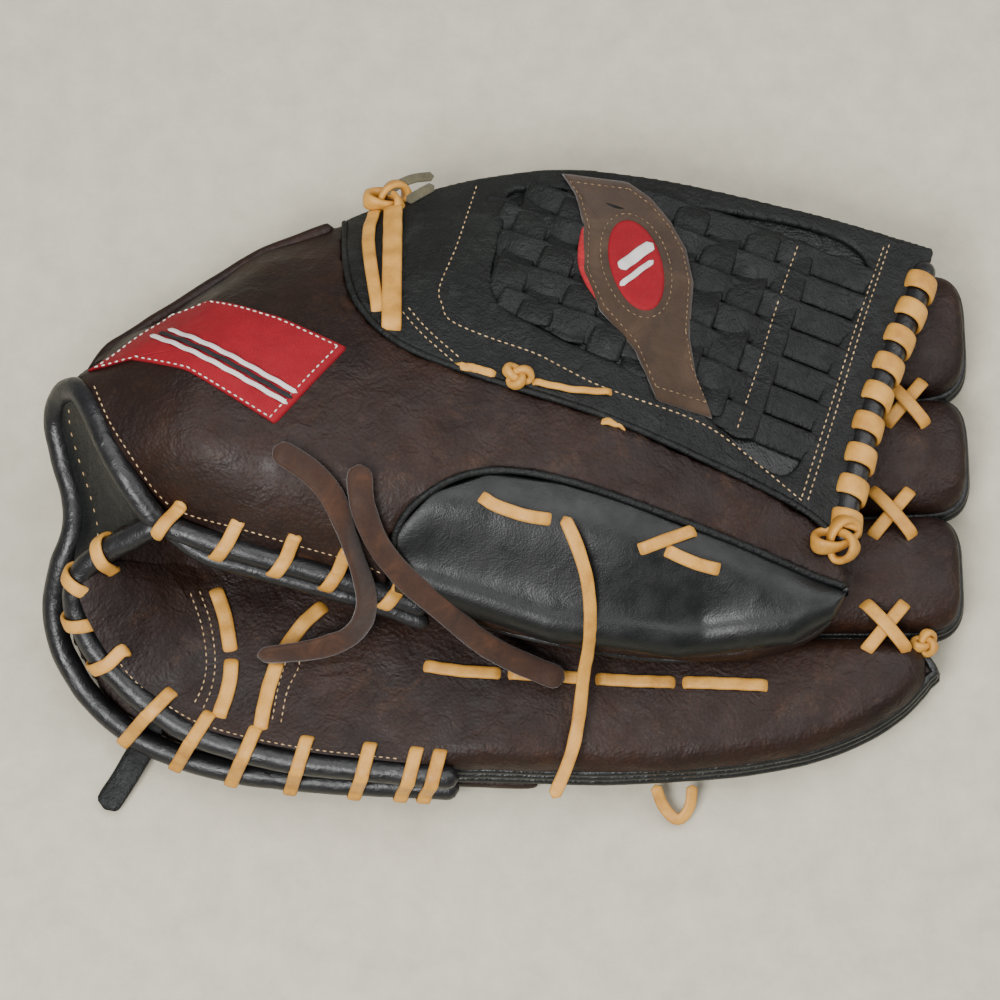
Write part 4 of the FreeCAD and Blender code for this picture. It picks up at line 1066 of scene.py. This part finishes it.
class GLOVE_OT_thumb(bpy.types.Operator):
    """Thumb leather, its black panel, underside, padding and the fold behind the hand"""
    bl_idname = "glove.thumb"
    bl_label = "Thumb"

    def execute(self, context):
        def shell_folds(p):
            heel = ease((-p.x - 20) / 90)
            cross = math.sin((p.x * 0.9 + p.y * 0.5) / 9 + 2 * wrinkle(p, 40, 3)) * 0.35 * heel
            return 1.0 * wrinkle(p, 34, 8) + 0.45 * wrinkle(p, 11, 9) + cross

        bm = soft_copy(["thumb_back"], 1.7, 5)
        make_object(bm, "thumb_leather", "brown_leather", THUMB, ["thumb_back"],
                    shell_folds)
        bm = mapped_grid(150, 56, panel_point, True)
        face_up(bm)
        ruffle(bm, lambda p: 0.55 * wrinkle(p, 24, 2) + 0.12 * wrinkle(p, 7, 2))
        make_object(thicken(bm, 1.6), "thumb_panel_leather", "panel_leather", THUMB,
                    ["thumb_panel"], recalc=False)
        bm = roll_mesh([(x, y + 0.6, thumb_top(x, y) + 0.2) for x, y in PANEL_TOP], 1.2)
        make_object(bm, "panel_seam_piping", "web_leather", THUMB, recalc=False)
        make_object(soft_copy(["thumb_front", "thumb_side_wall"], 1.8, 3), "thumb_underside",
                    "brown_leather", THUMB, ["thumb_front", "thumb_side_wall"],
                    lambda p: 0.4 * wrinkle(p, 14, 2))
        inner_layers("thumb", THUMB)
        for name, first, last, drop, finish, slot, nodes in (
                ("hand_fold", -141.0, -54.6, 2.0, "brown_leather", "brown_leather", ["hand_back_fold"]),
                ("web_fold", -54.0, 150.0, 3.0, "web_leather", "black_leather",
                 ["web_lower_half", "web_outer_wall"])):
            bm = mapped_grid(100, 40, lambda u, v: fold_point(mix(first, last, u), v, drop))
            piece = make_object(bm, name, finish, None,
                                wrinkles=lambda p: 0.8 * wrinkle(p, 24, 6) + 0.3 * wrinkle(p, 8, 6))
            ride_both(piece, nodes)
        return {"FINISHED"}


# ---- bindings, laces, web and trim ----------------------------------------------------------------
WEAVE = [(-2, 105), (-2, 80), (-1, 59), (9, 51), (24, 43), (68, 21), (98, 1), (108, 22), (118, 50),
         (130, 84), (80, 101), (26, 108)]
WEAVE_PITCH = (13.0, 11.5)
WEAVE_TURN = math.radians(-19)
WEAVE_SINK, WEAVE_RISE = 0.55, 0.95     # strips lie this far under the web's top, and wave this much
STRIP_SHARE = 0.465                     # half width of a strip, as a share of the pitch
TIP_RADIUS = 4.4
HEEL_WRAPS = [(-134, -25.5, 56), (-143, -34, 48), (-143.5, -46, 40), (-136, -59, 33), (-119, -73),
              (-105, -82), (-88, -88), (-69.5, -92), (-48, -94), (-32, -96), (-23.5, -96.8)]
THUMB_WRAPS = [(-113, -18), (-92, -25), (-73, -30), (-55.6, -35), (-36, -40)]
PALM_LACES = [[(-99, -31), (-95, -42), (-92.5, -55)], [(-92.3, -56), (-93, -66), (-96.5, -78)],
              [(-60, -37), (-68, -44.5), (-75.5, -55.5)], [(-76.2, -56.5), (-79.5, -68), (-82, -82)]]
PINKY_LACES = [[(-27, -59), (-14, -61), (1, -61.8)], [(2, -61.8), (17, -62.8), (31, -63.5)],
               [(32, -63.5), (47, -64.4), (61, -64.7)], [(62, -64.7), (78, -65.3), (93, -66)]]
PANEL_LACES = [[(-7.3, -11.5), (-2.2, -14.8), (7.9, -18), (18, -19.4)],
               [(45, -28.7), (57, -24), (68.4, -19.6)], [(54, -27.7), (64, -31.5), (74.3, -33.9)]]
EDGE_LACES = [([(-20, 34), (-10, 33), (-0.5, 30.3)], 3.0), ([(9.7, 29), (24.3, 26.2), (39, 26)], 2.4),
              ([(32.8, 15.9), (38, 14.8), (43.1, 13.7)], 2.6), ([(75, 2), (83, -1.6), (92, -5)], 2.6)]
FINGER_JOINS = [(133.6, -44.8), (137.3, -4), (143.6, 36.5)]
PATCH = [(-140, 35), (-124, 36), (-104, 29), (-74, 10), (-51, 39), (-74, 51), (-100, 61), (-114, 58)]
PATCH_STRIPES = [[(-118, 45), (-96, 32), (-70, 17)], [(-112, 47), (-93, 36), (-67, 21)]]
STRAP = [(22, 115), (45, 112), (53, 105), (60, 95), (65, 84), (67, 70), (65, 48), (67, 33), (72, 19),
         (53, 24), (51, 29), (46, 42), (34, 57), (28, 73), (29, 93), (26, 107)]
FELT_EDGE = [(28, 92), (26.5, 75), (33, 60), (41, 50)]
OVAL_AT, OVAL_HALF, OVAL_TURN = Vector((47, 75.5)), (9.5, 19.0), math.radians(10)
PALM_SEAMS = [[(-134, -54), (-125, -65), (-114, -73), (-99, -80.5), (-69, -87.5), (-34, -91.5)],
              [(-104, -33), (-100, -44), (-98, -57), (-99, -67), (-102, -75)],
              [(-107, -34), (-103, -45), (-101, -57), (-102, -66), (-105, -73)],
              [(-75, -52), (-73, -54), (-76, -66), (-78, -79)],
              [(-72, -51), (-69, -58), (-73, -68), (-75, -80)]]
THUMB_SEAM = [(-136, 27), (-130, 14), (-123, 3), (-115, -8), (-106, -14.5), (-84, -21.5), (-48, -31),
              (-40, -34)]
WEB_SEAMS = [[(138.3, 91.1), (127, 60), (116, 27), (102.7, -12.1)],
             [(136.2, 90), (125, 60), (114, 28), (101, -10)],
             [(106.4, 92.3), (97, 66), (88, 38), (79, 12.1)],
             [(-8.3, 109.7), (-14.7, 83.3), (-20.6, 64.4), (-19.6, 57.1), (-17, 51.1), (-5.7, 45.5),
              (11.5, 39.4), (21.8, 34.1), (32.1, 28.9), (45.9, 24.1), (63.2, 18.9), (77.1, 11.7), (102, -8)],
             [(-33, 53.7), (-26, 45), (-16, 35.4)], [(-31, 55.4), (-24, 46.6), (-14, 37)]]


def inside(point, outline):
    """True where a plan point lies inside an outline."""
    odd = False
    for (xa, ya), (xb, yb) in zip(outline, outline[1:] + outline[:1]):
        if (ya > point.y) != (yb > point.y) and point.x < xa + (point.y - ya) * (xb - xa) / (yb - ya):
            odd = not odd
    return odd


def oval(grow=0.0):
    c, s = math.cos(OVAL_TURN), math.sin(OVAL_TURN)
    out = []
    for k in range(40):
        a = 2 * math.pi * k / 40
        x, y = (OVAL_HALF[0] + grow) * math.cos(a), (OVAL_HALF[1] + grow) * math.sin(a)
        out.append((OVAL_AT.x + x * c - y * s, OVAL_AT.y + x * s + y * c))
    return out


def web_seam(p):
    """How far a plan point lies past the web's inner seam, towards the tip."""
    (xa, ya), (xb, yb) = WEB_SEAMS[2][0], WEB_SEAMS[2][-1]
    way = Vector((xa - xb, ya - yb)).normalized()
    return (p.x - xb) * way.y - (p.y - yb) * way.x


class GLOVE_OT_web(bpy.types.Operator):
    """Web backing, border, woven strips and the rolled tip with its wraps"""
    bl_idname = "glove.web"
    bl_label = "Web"

    def execute(self, context):
        make_object(soft_copy(["web_base"], 1.5, 2), "web_backing", "black_leather", THUMB,
                    ["web_base"])
        make_object(soft_copy(["web_border"], 0.8, 2), "web_border_leather", "web_leather", THUMB,
                    ["web_border"], lambda p: 0.7 + 0.35 * wrinkle(p, 18, 5))
        c, s = math.cos(WEAVE_TURN), math.sin(WEAVE_TURN)
        long_way, cross_way = Vector((c, s, 0)), Vector((-s, c, 0))
        origin = Vector((0, 60, 0))
        for name, way, perp, pitch, step, sign, node in (
                ("web_strips_long", long_way, cross_way, WEAVE_PITCH[1], WEAVE_PITCH[0], 1, "web_weave_long"),
                ("web_strips_cross", cross_way, long_way, WEAVE_PITCH[0], WEAVE_PITCH[1], -1,
                 "web_weave_cross")):
            bm = bmesh.new()
            for k in range(-9, 12):
                run = []
                for i in range(-100, 190):
                    p = origin + way * i + perp * (k * pitch)
                    past = web_seam(p)
                    reached = inside(p, WEAVE) or (past > 4 and inside(p - Vector((6, 0, 0)), WEAVE))
                    if reached and (sign > 0 or past < 2):
                        under = 1 - ease((past + 3) / 6)
                        wave = sign * WEAVE_RISE * under * math.cos(math.pi * (i / step + k))
                        p.z = thumb_top(p.x, p.y) - WEAVE_SINK + wave
                        run.append(p)
                if len(run) > 8:
                    swept(bm, frames_along(run, (0, 0, 1)), pitch * STRIP_SHARE, 0.95, 12, 0.42, 1.5)
            make_object(bm, name, "web_leather", THUMB, [node],
                        lambda p: 0.25 * wrinkle(p, 7, 5), recalc=False)
        tip = [(x, y, thumb_top(x, y) - 1.5) for x, y in [(116, -24)] + WEB_TIP[1:-1] + [(151.5, 85)]]
        make_object(roll_mesh(tip, TIP_RADIUS), "web_tip_binding", "black_binding", THUMB,
                    ["web_tip_roll"], lambda p: 0.2 * wrinkle(p, 6, 1))
        spots = [tuple(p.xy) for p in curve_through(tip, 1.0)[9:106:12]]
        bm = wraps_on(tip, None, spots, TIP_RADIUS, (40, 60), width=7.3, reach=0, start=165, end=-120,
                      slant=1.4)
        make_object(bm, "web_tip_wraps", "rawhide", THUMB, ["web_tip_lace"], recalc=False)
        bm = roll_mesh([(x, y - 0.2, thumb_top(x, y) + 0.25) for x, y in WEB_EDGE], 1.1)
        make_object(bm, "web_edge_piping", "web_leather", THUMB, recalc=False)
        return {"FINISHED"}


class GLOVE_OT_bindings(bpy.types.Operator):
    """Rolled bindings of the heel, wrist and thumb, and the wrist's leather band"""
    bl_idname = "glove.bindings"
    bl_label = "Bindings"

    def blended(self, bm, name, material, slot, low, high, nodes=(), wrinkles=None):
        """A piece baked in place on no body, standing in for the given CAD nodes."""
        piece = make_object(bm, name, material, None, (), wrinkles, False)
        ride_both(piece, nodes)

    def execute(self, context):
        radius = context.scene.glove_lacing.roll_radius
        self.blended(roll_mesh(HEEL_LINE, radius), "heel_binding", "black_binding", "black_binding", 42, 62,
                     ["palm_heel_roll"], lambda p: 0.25 * wrinkle(p, 7, 2))
        self.blended(roll_mesh(WRIST_ROLL, radius), "wrist_binding", "black_binding", "black_binding", 36, 58,
                     ["wrist_roll", "thumb_wrist_roll"], lambda p: 0.25 * wrinkle(p, 7, 5))
        bm = roll_mesh(THUMB_ROLL, radius - 0.2)
        roll_mesh([THUMB_ROLL[0]] + [(x, y - 4.4, z - 3.6) for x, y, z in THUMB_ROLL[1:]], radius - 1.2,
                  bm=bm)
        make_object(bm, "thumb_binding", "black_binding", THUMB, ["thumb_heel_roll"],
                    lambda p: 0.25 * wrinkle(p, 7, 3))
        seam = [(x, along(FOLD_EDGE, x)) for x in range(-143, -55, 6)]
        bm = roll_mesh([(x, y - 0.6, thumb_top(x, y) - 1.2) for x, y in seam], 2.4)
        make_object(bm, "fold_seam_welt", "brown_leather", THUMB,
                    wrinkles=lambda p: 0.2 * wrinkle(p, 8, 4))
        outer = curve_through(WRIST_BAND[0], 1.0)
        inner = curve_through(WRIST_BAND[1], 1.0)

        def place(u, v):
            a, b = outer[round(u * (len(outer) - 1))], inner[round(u * (len(inner) - 1))]
            p = a.lerp(b, v)
            return p.x, p.y, p.z - 4.5 * math.sin(math.pi * v) * math.sin(math.pi * min(u * 1.1, 1))

        bm = mapped_grid(60, 26, place, True)
        face_up(bm)
        self.blended(thicken(bm, 1.6), "wrist_band", "black_leather", "black_leather", 36, 58, (),
                     lambda p: 0.3 * wrinkle(p, 12, 4))
        bm = bmesh.new()
        seam = [Vector(place(k / 26, 0.34)) for k in range(2, 25)]
        for a, b in zip(seam[::2], seam[1::2]):
            turn = (b - a).to_track_quat("X", "Z").to_matrix().to_4x4()
            put = Matrix.Translation((a + b) / 2 + Vector((0, 0, 0.2))) @ turn @ Matrix.Diagonal((0.9, 0.3,
                                                                                                  0.3, 1))
            bmesh.ops.create_icosphere(bm, subdivisions=1, radius=1, matrix=put)
        self.blended(bm, "wrist_stitching", "tan_thread", "tan_lace", 36, 58)
        piping = [(-18, -47), (17, -56.5), (60, -60.8), (98, -56.8), (112, -50)]
        piping = [(x, y + 3, thumb_top(x, y) - 6.4) for x, y in piping]
        make_object(roll_mesh(piping, 1.2), "thumb_edge_piping", "black_binding", THUMB,
                    ["thumb_piping"])
        return {"FINISHED"}


class GLOVE_OT_laces(bpy.types.Operator):
    """Laces sewn through the leather and wrapped round the bindings"""
    bl_idname = "glove.laces"
    bl_label = "Laces"

    def rows(self, name, ground, lines, body, node, **shape):
        """A piece of laces lying on the leather."""
        bm = bmesh.new()
        for line in lines:
            lay_lace(bm, ground, line, **shape)
        make_object(bm, name, "rawhide", body, [node], recalc=False)

    def execute(self, context):
        lacing = context.scene.glove_lacing
        palm = Ground("palm_leather")
        radius, width = lacing.roll_radius, lacing.wrap_width
        bm = wraps_on(HEEL_LINE, palm, HEEL_WRAPS, radius, (-55, -15), WRIST_ROLL, width=width)
        whips = make_object(bm, "heel_wraps", "rawhide", None, recalc=False)
        ride_both(whips, ["palm_heel_lace"])
        thumb = Ground("thumb_leather", "thumb_panel_leather")
        bm = wraps_on(THUMB_ROLL, thumb, THUMB_WRAPS, radius - 0.2, (-40, 60), width=width, slant=4.0)
        make_object(bm, "thumb_wraps", "rawhide", THUMB, ["thumb_heel_lace"], recalc=False)
        self.rows("palm_laces", palm, PALM_LACES, FINGER, "palm_seam_laces", width=5.2, dive=1.7)
        self.rows("little_finger_laces", palm, PINKY_LACES, FINGER, "pinky_lace", width=4.4, dive=1.9)
        fronts = Ground("palm_leather", "ring_stall_front", "middle_stall_front", "index_stall_front")
        bm = bmesh.new()
        for x, y in FINGER_JOINS:
            taut_lace(bm, fronts, (x - 8, y - 9.5), (x + 8, y + 9.5))
            taut_lace(bm, fronts, (x + 8, y - 9.5), (x - 8, y + 9.5), rise=2.6)
        make_object(bm, "finger_join_laces", "rawhide", FINGER, ["finger_cross_laces"],
                    recalc=False)
        self.rows("panel_lace", thumb, PANEL_LACES, THUMB, "panel_laces", width=4.4)
        top = Ground("thumb_leather", "thumb_panel_leather", "web_border_leather", "web_strips_long",
                     "web_strips_cross")
        bm = bmesh.new()
        lay_lace(bm, top, [(-37.4, 103), (-37, 75.6), (-36.6, 45.4)], width=6.8, lift=0.7)
        lay_lace(bm, top, [(-43.8, 102), (-45.6, 84.4), (-41.1, 52.4)], width=4.6)
        make_object(bm, "corner_lace", "rawhide", THUMB, ["web_corner_lace"], recalc=False)
        bm = bmesh.new()
        for line, wide in EDGE_LACES:
            lay_lace(bm, top, line, width=wide, thick=1.4)
        make_object(bm, "web_edge_laces", "rawhide", THUMB, ["web_edge_lace"], recalc=False)
        bm = bmesh.new()
        high = thumb_top(-38, 102) + 3.5
        for line in ([(-41, 107), (-32, 112.5), (-23.4, 114)], [(-33, 103.5), (-28, 107), (-23.3, 110)]):
            tail = curve_through([(x, y, high - 0.25 * (y - 103)) for x, y in line], 1.2)
            swept(bm, frames_along(tail, (0, 0, 1)), 1.8, 0.8, 10, 0.6, 1.0)
        make_object(bm, "corner_lace_tails", "olive_suede", THUMB, recalc=False)
        for name, at, size, turn, width, node in (
                ("corner_knot", (-39.6, 105), (8.0, 6.6, 2.6), 0.3, 6.0, "web_corner_knot"),
                ("edge_knot", (5.9, 30.1), (4.6, 3.6, 1.5), -0.3, 3.6, "web_edge_knot"),
                ("tip_knot", (114, -21.5), (8.5, 7, 3), 0.5, 6.0, "web_tip_knot")):
            bm = bmesh.new()
            z = top.at(*at, thumb_top(*at))[0].z
            knot_mesh(bm, (*at, z + size[2] * 0.7 + 0.9), size, turn, width, 2.6)
            make_object(bm, name, "rawhide", THUMB, [node], recalc=False)
        bm = bmesh.new()
        knot_mesh(bm, (148, -49.5, 22), (4.2, 3.8, 1.8), 0.6, 3.8)
        make_object(bm, "little_finger_knot", "rawhide", FINGER, ["pinky_tip_knot"],
                    recalc=False)
        bm = bmesh.new()
        line = curve_through([(54, -97, 9), (57, -104, 5.5), (62, -108.5, 4), (66, -104.5, 5.5),
                              (67, -97, 9)], 1.2)
        swept(bm, frames_along(line, (0.3, -0.6, 1)), 2.1, 0.9, 10, 0.6, 1.0)
        make_object(bm, "little_finger_loop", "rawhide", FINGER, ["pinky_loop"],
                    recalc=False)
        bm = bmesh.new()
        line = curve_through([(-120.5, -75, 13), (-125, -83, 7), (-131, -93, 4.5), (-138.3, -104.7, 3)], 1.2)
        stations = frames_along(line, (0, 0, 1))
        swept(bm, stations, 4.6, 0.9, 10, 0.5, 3.0)
        make_object(bm, "wrist_pull_tab", "web_leather", FINGER, ["wrist_tab"],
                    lambda p: 0.2 * wrinkle(p, 5, 2), recalc=False)
        return {"FINISHED"}


def strap_height(x, y):
    """The suede strap lies smooth over the woven strips."""
    return thumb_top(x, y) + 0.9


class GLOVE_OT_patches(bpy.types.Operator):
    """Cloth patch behind the hand, suede strap and oval badge on the web"""
    bl_idname = "glove.patches"
    bl_label = "Patches"

    def execute(self, context):
        bm = laid_patch(Ground("thumb_leather").height, PATCH, 0.9, 1.3)
        make_object(bm, "hand_patch_cloth", "red_cloth", THUMB, ["hand_patch"],
                    recalc=False)
        cloth_top = Ground("hand_patch_cloth")
        bm = bmesh.new()
        for line in PATCH_STRIPES:
            lay_lace(bm, cloth_top, line, width=1.8, thick=0.7, dive=0.3)
        make_object(bm, "patch_stripes", "white_cloth", THUMB,
                    ["hand_patch_stripes"], recalc=False)
        bm = bmesh.new()
        lay_lace(bm, cloth_top, [(-115, 46), (-94.5, 34), (-68.5, 19)], width=1.6, thick=0.6, dive=0.3)
        make_object(bm, "patch_dark_stripe", "dark_cloth", THUMB, recalc=False)
        bm = laid_patch(strap_height, STRAP, 1.0, 2.0, edge=2.2)
        make_object(bm, "badge_strap_suede", "strap_suede", THUMB, ["badge_strap"],
                    lambda p: 0.3 * wrinkle(p, 16, 1), recalc=False)
        bm = laid_patch(strap_height, oval(), 2.0, 1.5, edge=1.6)
        make_object(bm, "badge_cloth", "red_cloth", THUMB, ["badge_oval"], recalc=False)
        badge = Ground("badge_cloth")
        bm = bmesh.new()
        for shift, wide in ((-4.0, 2.2), (3.0, 4.4)):
            lay_lace(bm, badge, [(41, 70 + shift), (47, 75.5 + shift), (53, 81 + shift)], width=wide,
                     thick=0.7,
                     dive=0.3)
        make_object(bm, "badge_bands", "white_cloth", THUMB, recalc=False)
        line = curve_through([(x + 2.4, y, thumb_top(x, y) + 0.9) for x, y in FELT_EDGE], 1.2)
        bm = bmesh.new()
        swept(bm, frames_along(line, (0, 0, 1)), 2.0, 1.2, 12, 0.7, 2.0)
        make_object(bm, "badge_felt_edge", "red_felt", THUMB, ["badge_felt"], recalc=False)
        return {"FINISHED"}


def ring_rows(bm, ground, outline, share, pitch):
    """Stitches round an outline drawn in towards its middle."""
    middle = sum((Vector(p) for p in outline), Vector((0, 0))) / len(outline)
    ring = [middle.lerp(Vector(p), share) for p in outline]
    if len(ring) > 30:
        stitch_row(bm, ground, [tuple(p) for p in ring + ring[:1]], pitch)
        return
    for a, b in zip(ring, ring[1:] + ring[:1]):
        stitch_row(bm, ground, [tuple(a), tuple(b)], min(pitch, (b - a).length))


class GLOVE_OT_stitches(bpy.types.Operator):
    """Rows of stitching on the leather, the web and the patches"""
    bl_idname = "glove.stitches"
    bl_label = "Stitching"

    def execute(self, context):
        pitch = context.scene.glove_lacing.stitch_pitch
        palm, thumb = Ground("palm_leather"), Ground("thumb_leather", "thumb_panel_leather")
        web = Ground("web_border_leather", "web_strips_long", "web_strips_cross")
        bm = bmesh.new()
        for line in PALM_SEAMS:
            stitch_row(bm, palm, line, pitch)
        make_object(bm, "palm_stitching", "tan_thread", FINGER)
        bm = bmesh.new()
        stitch_row(bm, thumb, THUMB_SEAM, pitch)
        make_object(bm, "thumb_stitching", "tan_thread", THUMB)
        bm = bmesh.new()
        for line in WEB_SEAMS:
            stitch_row(bm, web, line, pitch)
        make_object(bm, "web_stitching", "tan_thread", THUMB)
        bm = bmesh.new()
        ring_rows(bm, Ground("hand_patch_cloth"), PATCH, 0.93, pitch)
        make_object(bm, "patch_stitching", "white_thread", THUMB)
        bm = bmesh.new()
        strap = Ground("badge_strap_suede", "badge_cloth")
        ring_rows(bm, strap, STRAP, 0.9, pitch)
        ring_rows(bm, strap, oval(2.4), 1.0, pitch)
        make_object(bm, "strap_stitching", "dull_thread", THUMB)
        return {"FINISHED"}


# ---- panel, registration and the run --------------------------------------------------------------
STEPS = (GLOVE_OT_materials, GLOVE_OT_stage, GLOVE_OT_free_laces, GLOVE_OT_fingers, GLOVE_OT_palm,
         GLOVE_OT_thumb,
         GLOVE_OT_web, GLOVE_OT_bindings, GLOVE_OT_laces, GLOVE_OT_patches, GLOVE_OT_stitches)
GROUPS = {"glove_colours": GloveColours, "glove_lacing": GloveLacing, "glove_stage": GloveStage}


class GLOVE_PT_panel(bpy.types.Panel):
    """Lists the steps and what a user would change"""
    bl_idname = "GLOVE_PT_panel"
    bl_label = "Fielding Glove"
    bl_space_type = "VIEW_3D"
    bl_region_type = "UI"
    bl_category = "Glove"

    def draw(self, context):
        for name in GROUPS:
            group = getattr(context.scene, name)
            box = self.layout.box()
            for key in group.bl_rna.properties.keys():
                if key not in ("rna_type", "name"):
                    box.prop(group, key)
        for step in STEPS:
            self.layout.operator(step.bl_idname)


def register():
    for name, group in GROUPS.items():
        bpy.utils.register_class(group)
        setattr(bpy.types.Scene, name, PointerProperty(type=group))
    for step in (*STEPS, GLOVE_PT_panel):
        bpy.utils.register_class(step)


def unregister():
    for step in (GLOVE_PT_panel, *reversed(STEPS)):
        bpy.utils.unregister_class(step)
    for name, group in GROUPS.items():
        delattr(bpy.types.Scene, name)
        bpy.utils.unregister_class(group)


def main():
    register()
    for step in STEPS:
        family, name = step.bl_idname.split(".")
        getattr(getattr(bpy.ops, family), name)()


if __name__ == "__main__":
    main()
